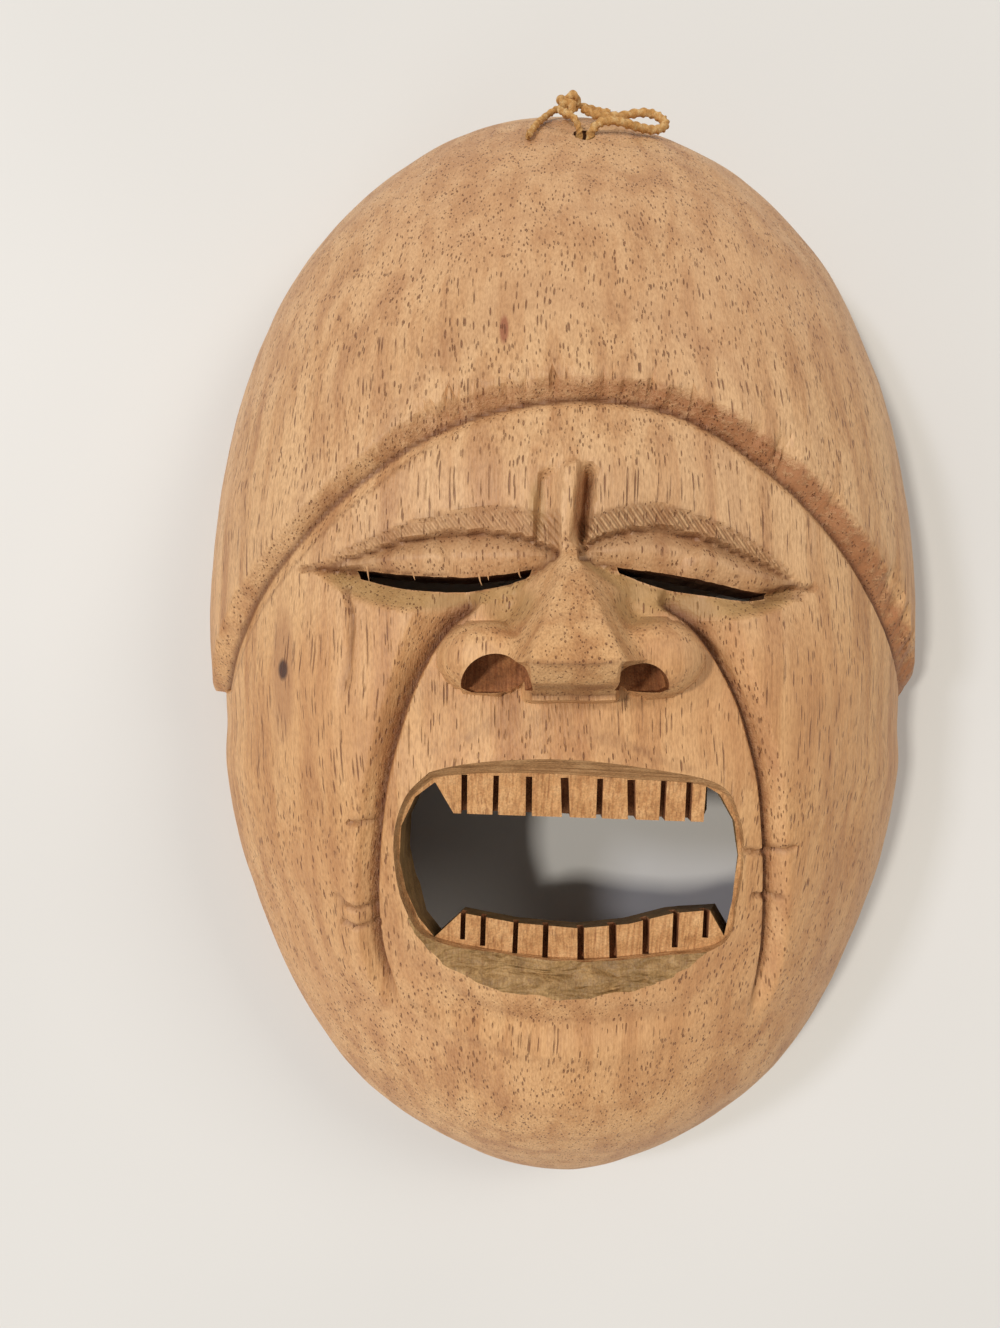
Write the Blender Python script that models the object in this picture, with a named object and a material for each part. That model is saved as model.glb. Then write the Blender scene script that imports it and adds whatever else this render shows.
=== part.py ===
"""Carved wood wall mask with a wide open mouth, lying on its back rim.

Metres, +Z up and out of the face, +Y to the crown, +X to the viewer's right.
The origin is on the table, under the middle of the mask.
"""

import math

import bmesh
import bpy
import numpy as np
from mathutils import Matrix, Vector

MM = 0.001

# Overall sizes of the carved block
LENGTH = 204 * MM
WIDTH = 136 * MM
DEPTH = 68 * MM

# Walls, bores and twine
WALL = 9.0 * MM
HOLLOW_HEIGHT = 38 * MM
CORD_HOLE = 3.8 * MM
TWINE = 1.4 * MM
KNOT = 4.6 * MM
STOPPER = 5.2 * MM
KERF = 1.05 * MM

# The carving is set out in units of 1 mm on the real mask, from a point by the nose
MIDDLE = np.array([0.5, 0.3, 0])

# The egg that the mask is cut from, in these units
EGG_HALF_WIDTH = 68.0
EGG_MIDDLE_X = -0.5
EGG_MIDDLE_Y = 2.0
EGG_CROWN = 99.7
EGG_CHIN = 106.7
EGG_HEIGHT = 55.0
EGG_FULLNESS = 2.15
CAP_STEP = 2.4
NOSE_TOP = 68.0

# One of these units in metres, across, along and up
EGG_LENGTH = EGG_CROWN + EGG_CHIN - CAP_STEP
UNIT = np.array([WIDTH / 2 / EGG_HALF_WIDTH, LENGTH / EGG_LENGTH, DEPTH / NOSE_TOP])

# Mesh of the front before it is thinned, and the triangles kept of it
GRID_ROWS = 280
GRID_COLUMNS = 220
FRONT_TRIANGLES = 4700

# The hanging loop, its knot, its stopper and the knot's tails, in mm from the origin
LOOP_ROUTE = [(4.85, 77.1, 23), (4.85, 80.1, 25.3), (4.85, 83.3, 27.7), (4.85, 85.7, 29.5)]
LOOP_ROUTE += [(4.85, 87.3, 30.7), (5.25, 88.45, 31.55), (6.25, 89.3, 32.2), (7.8, 89.65, 32.2)]
LOOP_ROUTE += [(9.8, 89.6, 31.5), (12.3, 89.9, 29.6), (15, 90.3, 27.6), (16.7, 90.3, 26.9)]
LOOP_ROUTE += [(17.8, 91, 25.7), (17.9, 92.1, 24.3), (16.9, 93.3, 23.3), (15.2, 93.9, 23.1)]
LOOP_ROUTE += [(12.8, 93.6, 24.1), (10.7, 93, 25.5), (8.5, 92.7, 26.4), (6.5, 93.1, 26.6)]
LOOP_ROUTE += [(5.1, 93.9, 26.4), (4.1, 94.7, 26.1)]
KNOT_PLACE = (1.5, 95.9, 25.3)
STOPPER_PLACE = (4, 74.2, 20.9)
TAIL_ROUTES = [
    [(0.7, 95.7, 25.1), (-0.4, 95.3, 24.9), (-1.7, 94.3, 25.4), (-3.1, 92.3, 27.2), (-4.1, 90.3, 29.3)],
    [(2.1, 96.2, 24.6), (3.4, 97.2, 22.4), (5.3, 97.8, 20.5), (7.3, 97.8, 19.5), (9.3, 97.4, 19.6)],
    [(1.3, 95.6, 25.2), (0.5, 94.7, 26.6), (-0.1, 93.2, 28.7), (0.1, 91.8, 30.6), (1.1, 90.7, 31.9)],
]
TAIL_ROUTES[0] += [(-4.9, 88.3, 31.2), (-5.7, 86.3, 32.8)]
TAIL_ROUTES[2] += [(2.3, 89.5, 32.2), (3, 88.3, 31.5), (3.15, 87.1, 30.6), (3.15, 83.3, 27.7)]
TAIL_ROUTES[2] += [(3.15, 80.1, 25.3), (3.15, 77.4, 23.2)]


def smooth(t):
    """0 to 1 with soft ends."""
    t = np.clip(t, 0, 1)
    return t * t * (3 - 2 * t)


def ramp(value, start, end):
    """Soft step from 0 at start to 1 at end."""
    return smooth((value - start) / (end - start))


def curve_points(points, count=48):
    """Points along a Catmull-Rom curve through the given ones."""
    p = np.array(points, float)
    p = np.vstack([2 * p[0] - p[1], p, 2 * p[-1] - p[-2]])
    spans = len(p) - 3
    out = []
    for k in np.linspace(0, spans, count):
        i = min(int(k), spans - 1)
        t = k - i
        a, b, c, d = p[i : i + 4]
        bend = 2 * a - 5 * b + 4 * c - d
        twist = 3 * b - a - 3 * c + d
        out.append(0.5 * (2 * b + (c - a) * t + bend * t**2 + twist * t**3))
    return np.array(out)


def height_of(points, x):
    """y of a line drawn across the face, read at x. The points run left to right."""
    line = curve_points(points)
    return np.interp(x, line[:, 0], line[:, 1])


def along(points, x, y):
    """Distance to a cut line, side of it (+1 on its right), and share of the way along it."""
    line = curve_points(points)
    best = np.full(x.shape, 1e9)
    side = np.ones(x.shape)
    share = np.zeros(x.shape)
    for i in range(len(line) - 1):
        (ax, ay), (bx, by) = line[i], line[i + 1]
        dx, dy = bx - ax, by - ay
        t = np.clip(((x - ax) * dx + (y - ay) * dy) / (dx * dx + dy * dy), 0, 1)
        gx, gy = x - ax - t * dx, y - ay - t * dy
        d = np.hypot(gx, gy)
        near = d < best
        best = np.where(near, d, best)
        side = np.where(near, np.sign(dy * gx - dx * gy), side)
        share = np.where(near, (i + t) / (len(line) - 1), share)
    return best, side, share


def merged(a, b, soft):
    """The higher of two forms, run into each other over a soft distance."""
    near = np.clip(soft - np.abs(a - b), 0, None) / soft
    return np.maximum(a, b) + near**2 * soft / 4


# Lines of the carving

EYES = (
    {
        "brow_top": [(-42, 11.8), (-36, 14.4), (-26, 17.8), (-17.4, 19.5), (-10, 20.0), (-4.5, 19.0)],
        "lid_top": [(-42, 11.6), (-36, 13.0), (-26, 15.6), (-16, 16.7), (-7, 15.6), (-1.5, 13.4)],
        "lid_edge": [(-42, 11.4), (-33, 10.9), (-26, 10.0), (-18, 9.4), (-10, 9.8), (-4, 11), (-1.5, 12.6)],
        "slit_floor": [(-42, 11.3), (-34, 10.5), (-26, 8.7), (-18, 8), (-11, 8.6), (-5.5, 10), (-1.5, 12.4)],
        "scoop": [(-42, 11.0), (-34, 6.2), (-24, 4.0), (-14, 5.0), (-7, 7.6), (-1.5, 11.6)],
        "slit": (-33.5, -5.5),
    },
    {
        "brow_top": [(3.6, 18.4), (9, 20.0), (15, 20.2), (25, 17.2), (33, 12.8), (38, 9.0)],
        "lid_top": [(1.5, 13.4), (6, 15.8), (13.5, 17.0), (22, 15.6), (30, 12.6), (38, 8.8)],
        "lid_edge": [(1.5, 12.2), (8, 10.8), (15, 9.9), (22, 8.6), (29, 7.2), (33, 7.4), (38, 8.6)],
        "slit_floor": [(1.5, 12.0), (8, 10.2), (14, 8.1), (22, 6.7), (28, 6.1), (32, 6.7), (38, 8.4)],
        "scoop": [(1.5, 11.0), (8, 7.0), (16, 3.6), (25, 2.6), (34, 4.6), (38, 7.6)],
        "slit": (7.5, 31.5),
    },
)

FOLDS = (
    [(-13.5, 6.0), (-19.5, 1.6), (-24.5, -6.5), (-28.6, -19), (-31, -34), (-31.4, -50), (-27.7, -63.6)],
    [(14.0, 6.2), (20.5, 1.6), (26.3, -7.5), (30.4, -20), (32.4, -35), (33.4, -51), (31.8, -66)],
)

ARCH = [(-72, -22), (-65, -8.5), (-56, 5.5), (-46, 15.6), (-35, 24.6), (-18, 33.6), (0, 37)]
ARCH += [(18, 34.8), (32, 27.2), (43, 18.6), (54, 7), (64.5, -9.5), (71, -24)]
# Foot of the cap at its left end, and how much lower it is at its right end
CAP_FOOT_Y = -9.3
CAP_FOOT_LEAN = 1.3

NOSE_ROOT_Y = 14.2
NOSE_TIP_Y = -4.0
NOSE_FOOT_Y = -9.4
NOSE_HEIGHT = 15.5
# Each wing's middle, half width, half height and how far it stands up
WINGS = ((-12.9, -3.1, 7.6, 5.7, 8.4), (13.4, -3.1, 7.7, 6.0, 8.0))
# Each dimple beside the bridge: its middle, half width, half height and depth
DIMPLES = ((-9.3, 5.0, 5.0, 4.0, 2.0), (10.6, 4.8, 5.0, 4.0, 2.2))

# The mouth's inner edge, where the teeth stand, and the height of their fronts above and below
MOUTH_X = 0.2
MOUTH_Y = -34.5
MOUTH = [(-20.8, -21.8), (-24.6, -25.2), (-26.6, -30.5), (-26.6, -36.5), (-25.2, -42.5), (-21.6, -47.6)]
MOUTH += [(-10, -50.2), (2, -51.3), (13, -50.4), (24.6, -48.2), (26.6, -41), (27.2, -34), (26.2, -28)]
MOUTH += [(22.6, -23.2), (10, -21.8), (-8, -20.9)]
TEETH_Z = (48.4, 42.2)

# Foot of the nostrils, then each one's middle, half width and height
NOSTRIL_Y = -7.4
NOSTRILS = ((-10.7, 5.3, 5.4), (10.4, 4.0, 4.0))


def egg_normal(x, y, z):
    """Outward direction on the egg."""
    reach = np.where(y > EGG_MIDDLE_Y, EGG_CROWN, EGG_CHIN)
    n = EGG_FULLNESS
    across, up = x - EGG_MIDDLE_X, y - EGG_MIDDLE_Y
    g = np.stack(
        [
            np.sign(across) * np.abs(across) ** (n - 1) / EGG_HALF_WIDTH**n,
            np.sign(up) * np.abs(up) ** (n - 1) / reach**n,
            np.abs(z) ** (n - 1) / EGG_HEIGHT**n,
        ]
    )
    return g / np.maximum(np.linalg.norm(g, axis=0), 1e-12)


def slimmed(y):
    """The crown and the chin are slimmer than a plain egg's."""
    crown = 0.10 * (np.clip(y - 66, 0, None) / 30) ** 2
    chin = 0.12 * (np.clip(-78 - y, 0, None) / 18) ** 2
    return 1 - crown - chin


def arch_distance(x, y):
    """How far a point is outside the arch where the cap meets the brow, negative on the face."""
    line = height_of(ARCH, x)
    slope = height_of(ARCH, x + 0.5) - height_of(ARCH, x - 0.5)
    return (y - line) / np.hypot(1, slope)


def cap_foot(x):
    """y of the cap's foot, a little lower on the right."""
    return CAP_FOOT_Y - CAP_FOOT_LEAN * ramp(x, -50, 50)


def cap_relief(x, y):
    """The face lies below the cap, with a slanted cut and a sharp groove between them."""
    d = arch_distance(x, y)
    bevel = 2.0 + 1.2 * ramp(np.abs(x), 20, 60)
    groove = 1.3
    cap_side = -(CAP_STEP + groove) * (1 - np.clip(d / bevel, 0, 1))
    face_side = -CAP_STEP - groove * (1 - np.clip(-d / 1.8, 0, 1))
    above = np.where(d > 0, cap_side, face_side)
    jowl = -CAP_STEP + 0.9 * ramp(y, -14, -24) * ramp(y, -60, -30)
    return np.where(y > cap_foot(x), above, jowl)


def eye_relief(x, y, eye):
    """A brow band falling back to a heavy lid, and the scoop under the slit."""
    brow, lid, edge, floor, scoop = (
        height_of(eye[k], x) for k in ("brow_top", "lid_top", "lid_edge", "slit_floor", "scoop")
    )
    ends = np.array(eye["lid_top"], float)[[0, -1], 0]
    inside = (x > ends[0]) & (x < ends[1])
    band = (brow - y) / np.maximum(brow - lid, 0.3)
    fall = (lid - y) / np.maximum(lid - edge, 0.3)
    under = (floor - y) / np.maximum(floor - scoop, 0.3)
    wide = np.clip((brow - lid) / 2.5, 0, 1)
    band_form = wide * (-0.6 * np.clip(band / 0.12, 0, 1) - 0.6 * band)
    swell = 1 - (1 - np.clip(fall / 0.6, 0, 1)) ** 2
    tuck = np.clip((fall - 0.5) / 0.5, 0, None) ** 1.5
    lid_form = -3.1 * wide + np.clip((lid - edge) / 5.5, 0, 1) * (2.3 * swell - 2.0 * tuck)
    scoop_form = -3.4 * np.clip((floor - scoop) / 3.0, 0, 1) * np.clip(1 - under, 0, 1) ** 0.9
    out = np.where((band > 0) & (band < 1) & (brow > lid), band_form, 0.0)
    out = np.where((fall >= 0) & (y > floor), np.maximum(lid_form, -3.4), out)
    out = np.where((y <= floor) & (under < 1), scoop_form, out)
    return np.where(inside, out, 0)


def frown_relief(x, y):
    """Two upright folds between the brows, the right one deep with one steep side."""
    tall = ramp(y, 13.5, 16.5) * (1 - ramp(y, 24.5, 27.5))
    ridge = 1.0 * (1 - ramp(np.abs(x + 1.2), 1.2, 3.2))
    deep = np.where(x < 1.9, ramp(x, 1.0, 1.9), 1 - np.clip((x - 2.9) / 2.6, 0, 1))
    shallow = 1 - ramp(np.abs(x + 4.7), 0.2, 2.0)
    return tall * (ridge - 3.0 * deep - 1.6 * shallow)


def fold_relief(x, y):
    """Deep cuts from the nose to the chin, steep on the lip side, the cheek standing over them."""
    out = np.zeros(x.shape)
    for points, outer in zip(FOLDS, (1, -1)):
        d, side, share = along(points, x, y)
        live = ramp(share, 0.0, 0.06) * (1 - ramp(share, 0.86, 1.0))
        deep = 3.6 - 2.1 * ramp(share, 0.1, 0.42)
        cheek = side * outer > 0
        wide = np.where(cheek, 5.0 - 2.6 * ramp(share, 0.12, 0.4), 1.5)
        out -= live * deep * (1 - np.clip(d / wide, 0, 1)) ** np.where(cheek, 1.0, 1.4)
        out += live * 1.3 * cheek * (1 - smooth((d - wide) / 14)) * ramp(d, 0, wide)
    return out


def muzzle_relief(x, y):
    """Broad swells round the mouth, the chin and the cheekbones."""
    mouth = 3.2 * (1 - smooth(np.hypot((x + 0.4) / 34, (y + 35) / 30)))
    chin = 2.2 * (1 - smooth(np.hypot(x / 34, (y + 78) / 20)))
    under_lip = -1.2 * (1 - smooth(np.hypot(x / 30, (y + 63 - (x / 26) ** 2 * 4) / 5)))
    bones = sum(1.6 * (1 - smooth(np.hypot((x - s * 40) / 20, (y + 8) / 22))) for s in (-1, 1))
    forehead = 1.2 * (1 - smooth(np.hypot(x / 34, (y - 26) / 14)))
    return mouth + chin + under_lip + bones + forehead


def nose_relief(x, y):
    """A flat-fronted wedge with a round wing each side and a ledge below, raised straight up."""
    t = np.clip((NOSE_ROOT_Y - y) / (NOSE_ROOT_Y - NOSE_TIP_Y), 0, 1)
    below = np.clip(NOSE_TIP_Y - y, 0, None)
    under = NOSE_HEIGHT - 1.3 * below
    ledge = 7.4 - 1.1 * (below - 3.2)
    tall = np.where(y < NOSE_TIP_Y, under + (ledge - under) * ramp(below, 3.1, 3.9), NOSE_HEIGHT * t**0.9)
    flat = 0.2 + 6.7 * t**1.15
    foot = 2.0 + 13.2 * t**0.85
    slope = np.clip((np.abs(x - 0.5) - flat) / (foot - flat), 0, 1)
    slope = np.where(y < NOSE_TIP_Y, np.clip((np.abs(x - 0.5) - 6.3) / 1.2, 0, 1), slope)
    joined = np.where(t > 0, tall * (1 - slope) ** 1.3, 0)
    for wing_x, wing_y, wide, high, top in WINGS:
        r = np.hypot((x - wing_x) / wide, (y - wing_y) / high)
        wing = top * np.clip(1 - r**3.2, 0, 1) ** 0.45
        joined = merged(joined, wing, 4.5 * ramp(1 - r, 0, 0.3) + 0.01)
    for dimple_x, dimple_y, wide, high, deep in DIMPLES:
        r = np.hypot((x - dimple_x) / wide, (y - dimple_y) / high)
        joined = joined - deep * (1 - smooth(r))
    return joined * ramp(y, NOSE_FOOT_Y - 0.5, NOSE_FOOT_Y)


def front_point(u, v):
    """Grid square to the carved front."""
    p = u * np.sqrt(1 - v * v / 2)
    q = v * np.sqrt(1 - u * u / 2)
    radius = np.hypot(p, q)
    cos_ = np.where(radius > 0, p / np.maximum(radius, 1e-9), 1)
    sin_ = q / np.maximum(radius, 1e-9)
    n = EGG_FULLNESS
    corner = (np.abs(cos_) ** n + np.abs(sin_) ** n) ** (-1 / n)
    turn = np.clip(radius, 0, 1) * math.pi / 2
    out = np.sin(turn) ** (2 / n)
    reach = np.where(sin_ > 0, EGG_CROWN, EGG_CHIN)
    y = EGG_MIDDLE_Y + reach * corner * sin_ * out
    x = EGG_MIDDLE_X + EGG_HALF_WIDTH * corner * cos_ * out * slimmed(y)
    z = EGG_HEIGHT * np.clip(np.cos(turn), 0, 1) ** (2 / n)
    face = np.where(arch_distance(x, y) < 0, 1.0, 0.0) * ramp(z, 8, 20)
    along_normal = cap_relief(x, y) + face * (
        eye_relief(x, y, EYES[0]) + eye_relief(x, y, EYES[1]) + frown_relief(x, y) + fold_relief(x, y)
    )
    along_normal = along_normal + ramp(z, 4, 24) * muzzle_relief(x, y) * (y < 40)
    carved = np.stack([x, y, z]) + egg_normal(x, y, z) * along_normal
    carved[2] += nose_relief(x, y)
    return carved


def finish(bm, name):
    """Puts a bmesh into the scene as one object."""
    mesh = bpy.data.meshes.new(name)
    bm.to_mesh(mesh)
    bm.free()
    obj = bpy.data.objects.new(name, mesh)
    bpy.context.scene.collection.objects.link(obj)
    return obj


def material(name, colour, roughness):
    """Plain finish from the photo, sRGB hex."""
    linear = [((int(colour[i : i + 2], 16) / 255 + 0.055) / 1.055) ** 2.4 for i in (0, 2, 4)]
    made = bpy.data.materials.new(name)
    made.use_nodes = True
    shader = made.node_tree.nodes["Principled BSDF"]
    shader.inputs["Base Color"].default_value = (*linear, 1)
    shader.inputs["Roughness"].default_value = roughness
    shader.inputs["Metallic"].default_value = 0
    return made


def cutter(bm, name):
    """A hidden solid that a Boolean takes away."""
    bmesh.ops.recalc_face_normals(bm, faces=bm.faces)
    obj = finish(bm, name)
    obj.hide_render = True
    obj.display_type = "WIRE"
    return obj


def applied(obj):
    """The object's mesh with its modifiers, in place of the old one."""
    graph = bpy.context.evaluated_depsgraph_get()
    mesh = bpy.data.meshes.new_from_object(obj.evaluated_get(graph))
    obj.modifiers.clear()
    obj.data = mesh
    return obj


def at(x, y, z):
    """A point of the carving in metres, with the origin under the middle of the mask."""
    return Vector((np.array([x, y, z]) + MIDDLE) * UNIT)


def place(bm, points):
    """Moves every vertex to its point of the carving."""
    for v, p in zip(bm.verts, np.asarray(points).T):
        v.co = at(*p)


def carved_block():
    """The front as one closed block, flat behind, thinned to the triangles kept."""
    bm = bmesh.new()
    bmesh.ops.create_grid(bm, x_segments=GRID_COLUMNS, y_segments=GRID_ROWS, size=1)
    uv = np.array([v.co[:2] for v in bm.verts]).T
    place(bm, front_point(uv[0], uv[1]))
    rim = [e for e in bm.edges if e.is_boundary]
    skirt = bmesh.ops.extrude_edge_only(bm, edges=rim)["geom"]
    for v in (g for g in skirt if isinstance(g, bmesh.types.BMVert)):
        v.co.z = -6 * MM
    bmesh.ops.holes_fill(bm, edges=[e for e in bm.edges if e.is_boundary])
    bmesh.ops.triangulate(bm, faces=bm.faces)
    bmesh.ops.recalc_face_normals(bm, faces=bm.faces)
    count = len(bm.faces)
    obj = finish(bm, "mask")
    thin = obj.modifiers.new("thin", "DECIMATE")
    thin.ratio = FRONT_TRIANGLES / count
    applied(obj)
    bm = bmesh.new()
    bm.from_mesh(obj.data)
    everything = [*bm.verts, *bm.edges, *bm.faces]
    bmesh.ops.bisect_plane(bm, geom=everything, plane_co=(0, 0, 0), plane_no=(0, 0, 1), clear_inner=True)
    bmesh.ops.holes_fill(bm, edges=[e for e in bm.edges if e.is_boundary])
    bmesh.ops.recalc_face_normals(bm, faces=bm.faces)
    bm.to_mesh(obj.data)
    bm.free()
    return obj


def hollow_cutter():
    """The bowl carved into the back, a wall's width inside the egg."""
    bm = bmesh.new()
    bmesh.ops.create_uvsphere(bm, u_segments=40, v_segments=24, radius=1)
    n = EGG_FULLNESS
    size = (WIDTH / 2 - WALL, LENGTH / 2 - WALL, HOLLOW_HEIGHT)
    for v in bm.verts:
        d = v.co.normalized()
        fit = sum(abs(c) ** n for c in d) ** (-1 / n)
        v.co = Vector(d[i] * fit * size[i] for i in range(3))
    return cutter(bm, "hollow_cut")


def prism(outline, low, high):
    """Closed upright solid over an outline of the carving."""
    bm = bmesh.new()
    ring = [bm.verts.new(at(x, y, low)) for x, y in outline]
    face = bm.faces.new(ring)
    top = bmesh.ops.extrude_face_region(bm, geom=[face])["geom"]
    for v in (g for g in top if isinstance(g, bmesh.types.BMVert)):
        v.co.z = high * UNIT[2]
    return bm


def slit_cutter(eye, name):
    """The gap between lid and scoop, right through."""
    start, end = eye["slit"]
    xs = np.linspace(start, end, 14)
    upper = height_of(eye["lid_edge"], xs)
    lower = height_of(eye["slit_floor"], xs)
    outline = list(zip(xs[1:-1], lower[1:-1])) + list(zip(xs[::-1], upper[::-1]))
    return cutter(prism(outline, 20, 70), name)


def loop_through(points, count):
    """Points along a closed smooth curve."""
    closed = [*points, points[0], points[1]]
    return curve_points(closed, count + count // len(points) + 1)[:count]


def grown(outline, share, shift):
    """The outline made larger about the mouth's middle, and moved up the face."""
    middle = np.array([MOUTH_X, MOUTH_Y])
    return (outline - middle) * np.array(share) + middle + np.array([0, shift])


def lip_cutter():
    """Slanted sides from the lip's edge down to the front of the teeth."""
    inner = loop_through(MOUTH, 44)
    rings = ((grown(inner, (1.17, 1.36), 2.2), 64, 64), (inner, TEETH_Z[0], TEETH_Z[1]))
    bm = bmesh.new()
    for outline, top_z, foot_z in rings:
        high, low = outline[:, 1].max(), outline[:, 1].min()
        ring = []
        for x, y in outline:
            z = foot_z + (top_z - foot_z) * (y - low) / (high - low)
            ring.append(bm.verts.new(at(x, y, z)))
        for a, b in zip(ring, ring[1:] + ring[:1]):
            bm.edges.new((a, b))
    bmesh.ops.bridge_loops(bm, edges=bm.edges[:])
    bmesh.ops.holes_fill(bm, edges=[e for e in bm.edges if e.is_boundary])
    return cutter(bm, "lip_cut")


def lower_lip_cutter():
    """The long hollow scoop of the lower lip."""
    bm = bmesh.new()
    middle = at(1.0, -48.6, 56.4)
    size = Matrix.Diagonal((66 * UNIT[0], 16 * UNIT[1], 13.0 * UNIT[2], 1))
    shape = Matrix.Translation(middle) @ size
    bmesh.ops.create_uvsphere(bm, u_segments=36, v_segments=20, radius=1, matrix=shape)
    return cutter(bm, "lower_lip_cut")


def bite_cutter():
    """What shows through between the two rows of teeth."""
    left = [(-17.8, -27.4), (-20.6, -22.4), (-23.8, -24.8), (-26.1, -29.5), (-26.5, -35), (-25.6, -40)]
    left += [(-23.8, -44.3), (-21.2, -47.6), (-16.9, -43.6)]
    lower = [(-8, -45.2), (2, -46.0), (10, -45.2), (17, -43.4), (22.4, -42.9)]
    right = [(24.6, -47.0), (26.0, -41), (26.8, -34), (26.0, -28.5), (23.6, -24.2), (21.4, -22.9)]
    right += [(21.2, -28.6)]
    return cutter(prism(left + lower + right, 20, 70), "bite_cut")


def kerf_cutter():
    """Saw cuts between the teeth, deeper at the tips."""
    bm = bmesh.new()
    rows = (
        (-21.0, -29.5, TEETH_Z[0] - 1.4, [-16.1, -11.2, -6.0, -0.3, 5.0, 10.0, 14.8, 18.8]),
        (-50.0, -42.0, TEETH_Z[1] - 0.8, [-16.5, -13.3, -8.1, -3.3, 2.3, 7.4, 12.7, 17.4, 22.2]),
    )
    for root, tip, z, places in rows:
        for x in places:
            drop = 0.03 * (x + 16) if tip < root else -0.009 * (x - 2) ** 2 + 1.4
            size = Matrix.Diagonal((KERF, abs(tip - root) * UNIT[1], 7 * UNIT[2], 1))
            middle = Matrix.Translation(at(x, (root + tip) / 2 - drop, z))
            tilt = Matrix.Rotation(math.radians(24 if tip < root else -24), 4, "X")
            bmesh.ops.create_cube(bm, size=1, matrix=middle @ tilt @ size)
    return cutter(bm, "kerf_cut")


def nostril_cutter():
    """An arched hole under each wing of the nose, leaning up into it."""
    bm = bmesh.new()
    foot = [(-0.7, -0.14), (0.7, -0.14)]
    for x, wide, tall in NOSTRILS:
        arch = [(math.cos(math.pi * k / 12), math.sin(math.pi * k / 12)) for k in range(13)]
        ring = [bm.verts.new(at(x + wide * c, NOSTRIL_Y + tall * s, 53.5)) for c, s in arch + foot]
        face = bm.faces.new(ring)
        top = bmesh.ops.extrude_face_region(bm, geom=[face])["geom"]
        for v in (g for g in top if isinstance(g, bmesh.types.BMVert)):
            v.co += Vector(np.array([0, -1.6, 22]) * UNIT)
    return cutter(bm, "nostril_cut")


def hole_axis():
    """Where the twine's hole starts on the crown, and its direction inwards."""
    return at(3.5, 87.0, 30.7), Vector((0.0, -0.80, -0.60))


def hole_cutter():
    """The drilled hole for the twine."""
    mouth, inwards = hole_axis()
    long = WALL * 3
    turn = inwards.to_track_quat("Z", "Y").to_matrix().to_4x4()
    bm = bmesh.new()
    bmesh.ops.create_cone(
        bm,
        cap_ends=True,
        segments=14,
        radius1=CORD_HOLE / 2,
        radius2=CORD_HOLE / 2,
        depth=long,
        matrix=Matrix.Translation(mouth + inwards * (long / 2 - WALL)) @ turn,
    )
    return cutter(bm, "hole_cut")


def taken(obj, tools, operation="DIFFERENCE"):
    """Cuts the tools from the object, or joins them to it."""
    for tool in tools:
        cut = obj.modifiers.new(tool.name, "BOOLEAN")
        cut.operation = operation
        cut.use_self = operation == "DIFFERENCE"
        cut.object = tool
    return obj


def mask():
    """The carved block with every opening cut."""
    tools = [
        hollow_cutter(),
        slit_cutter(EYES[0], "left_slit_cut"),
        slit_cutter(EYES[1], "right_slit_cut"),
        lip_cutter(),
        lower_lip_cutter(),
        bite_cutter(),
        kerf_cutter(),
        nostril_cutter(),
        hole_cutter(),
    ]
    obj = taken(carved_block(), tools)
    obj.data.materials.append(material("bare wood", "C79E73", 0.6))
    return obj


def in_metres(points, count):
    """A smooth route through points in millimetres, as vectors in metres."""
    return [Vector(p) * MM for p in curve_points(points, count)]


def strand(name, points, dressing):
    """A round cord along a route."""
    curve = bpy.data.curves.new(name, "CURVE")
    curve.dimensions = "3D"
    curve.bevel_depth = TWINE / 2
    curve.bevel_resolution = 2
    curve.use_fill_caps = True
    line = curve.splines.new("POLY")
    line.points.add(len(points) - 1)
    for p, co in zip(line.points, points):
        p.co = (*co, 1)
    obj = bpy.data.objects.new(name, curve)
    bpy.context.scene.collection.objects.link(obj)
    if dressing:
        curve.materials.append(dressing)
    return obj


def tail_cutter(name, points):
    """A closed tube along a route, to be joined to a knot."""
    obj = strand(name, points, None)
    mesh = bpy.data.meshes.new_from_object(obj.evaluated_get(bpy.context.evaluated_depsgraph_get()))
    bpy.data.objects.remove(obj)
    bm = bmesh.new()
    bm.from_mesh(mesh)
    bmesh.ops.remove_doubles(bm, verts=bm.verts, dist=0.01 * MM)
    return cutter(bm, name)


def knot(name, middle, size, tails, dressing):
    """A round hard knot, a little wider than deep, with its tails."""
    bm = bmesh.new()
    shape = Matrix.Translation(middle) @ Matrix.Diagonal((size / 2, size / 2.3, size / 2.2, 1))
    bmesh.ops.create_icosphere(bm, subdivisions=2, radius=1, matrix=shape)
    obj = finish(bm, name)
    taken(obj, [tail_cutter(f"{name}_tail_{i}", t) for i, t in enumerate(tails)], "UNION")
    obj.data.materials.append(dressing)
    return obj


def hanging_twine():
    """The loop that the mask hangs by, tied at the crown, with a stopper inside the hollow."""
    two_ply = material("twine", "B98445", 0.8)
    stopper = Vector(STOPPER_PLACE) * MM
    strand("hanging_twine", in_metres(LOOP_ROUTE, 44), two_ply)
    tails = [in_metres(route, 2 * len(route)) for route in TAIL_ROUTES]
    knot("twine_knot", Vector(KNOT_PLACE) * MM, KNOT, tails, two_ply)
    knot("twine_stopper", stopper, STOPPER, [], two_ply)


def main():
    for obj in list(bpy.data.objects):
        bpy.data.objects.remove(obj)
    mask()
    hanging_twine()


main()
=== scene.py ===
"""Looks of the carved wood wall mask: the cut wood, its twine, the table and the light."""

import math

import bmesh
import bpy
import numpy as np
from mathutils import Matrix, Vector, noise


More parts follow.
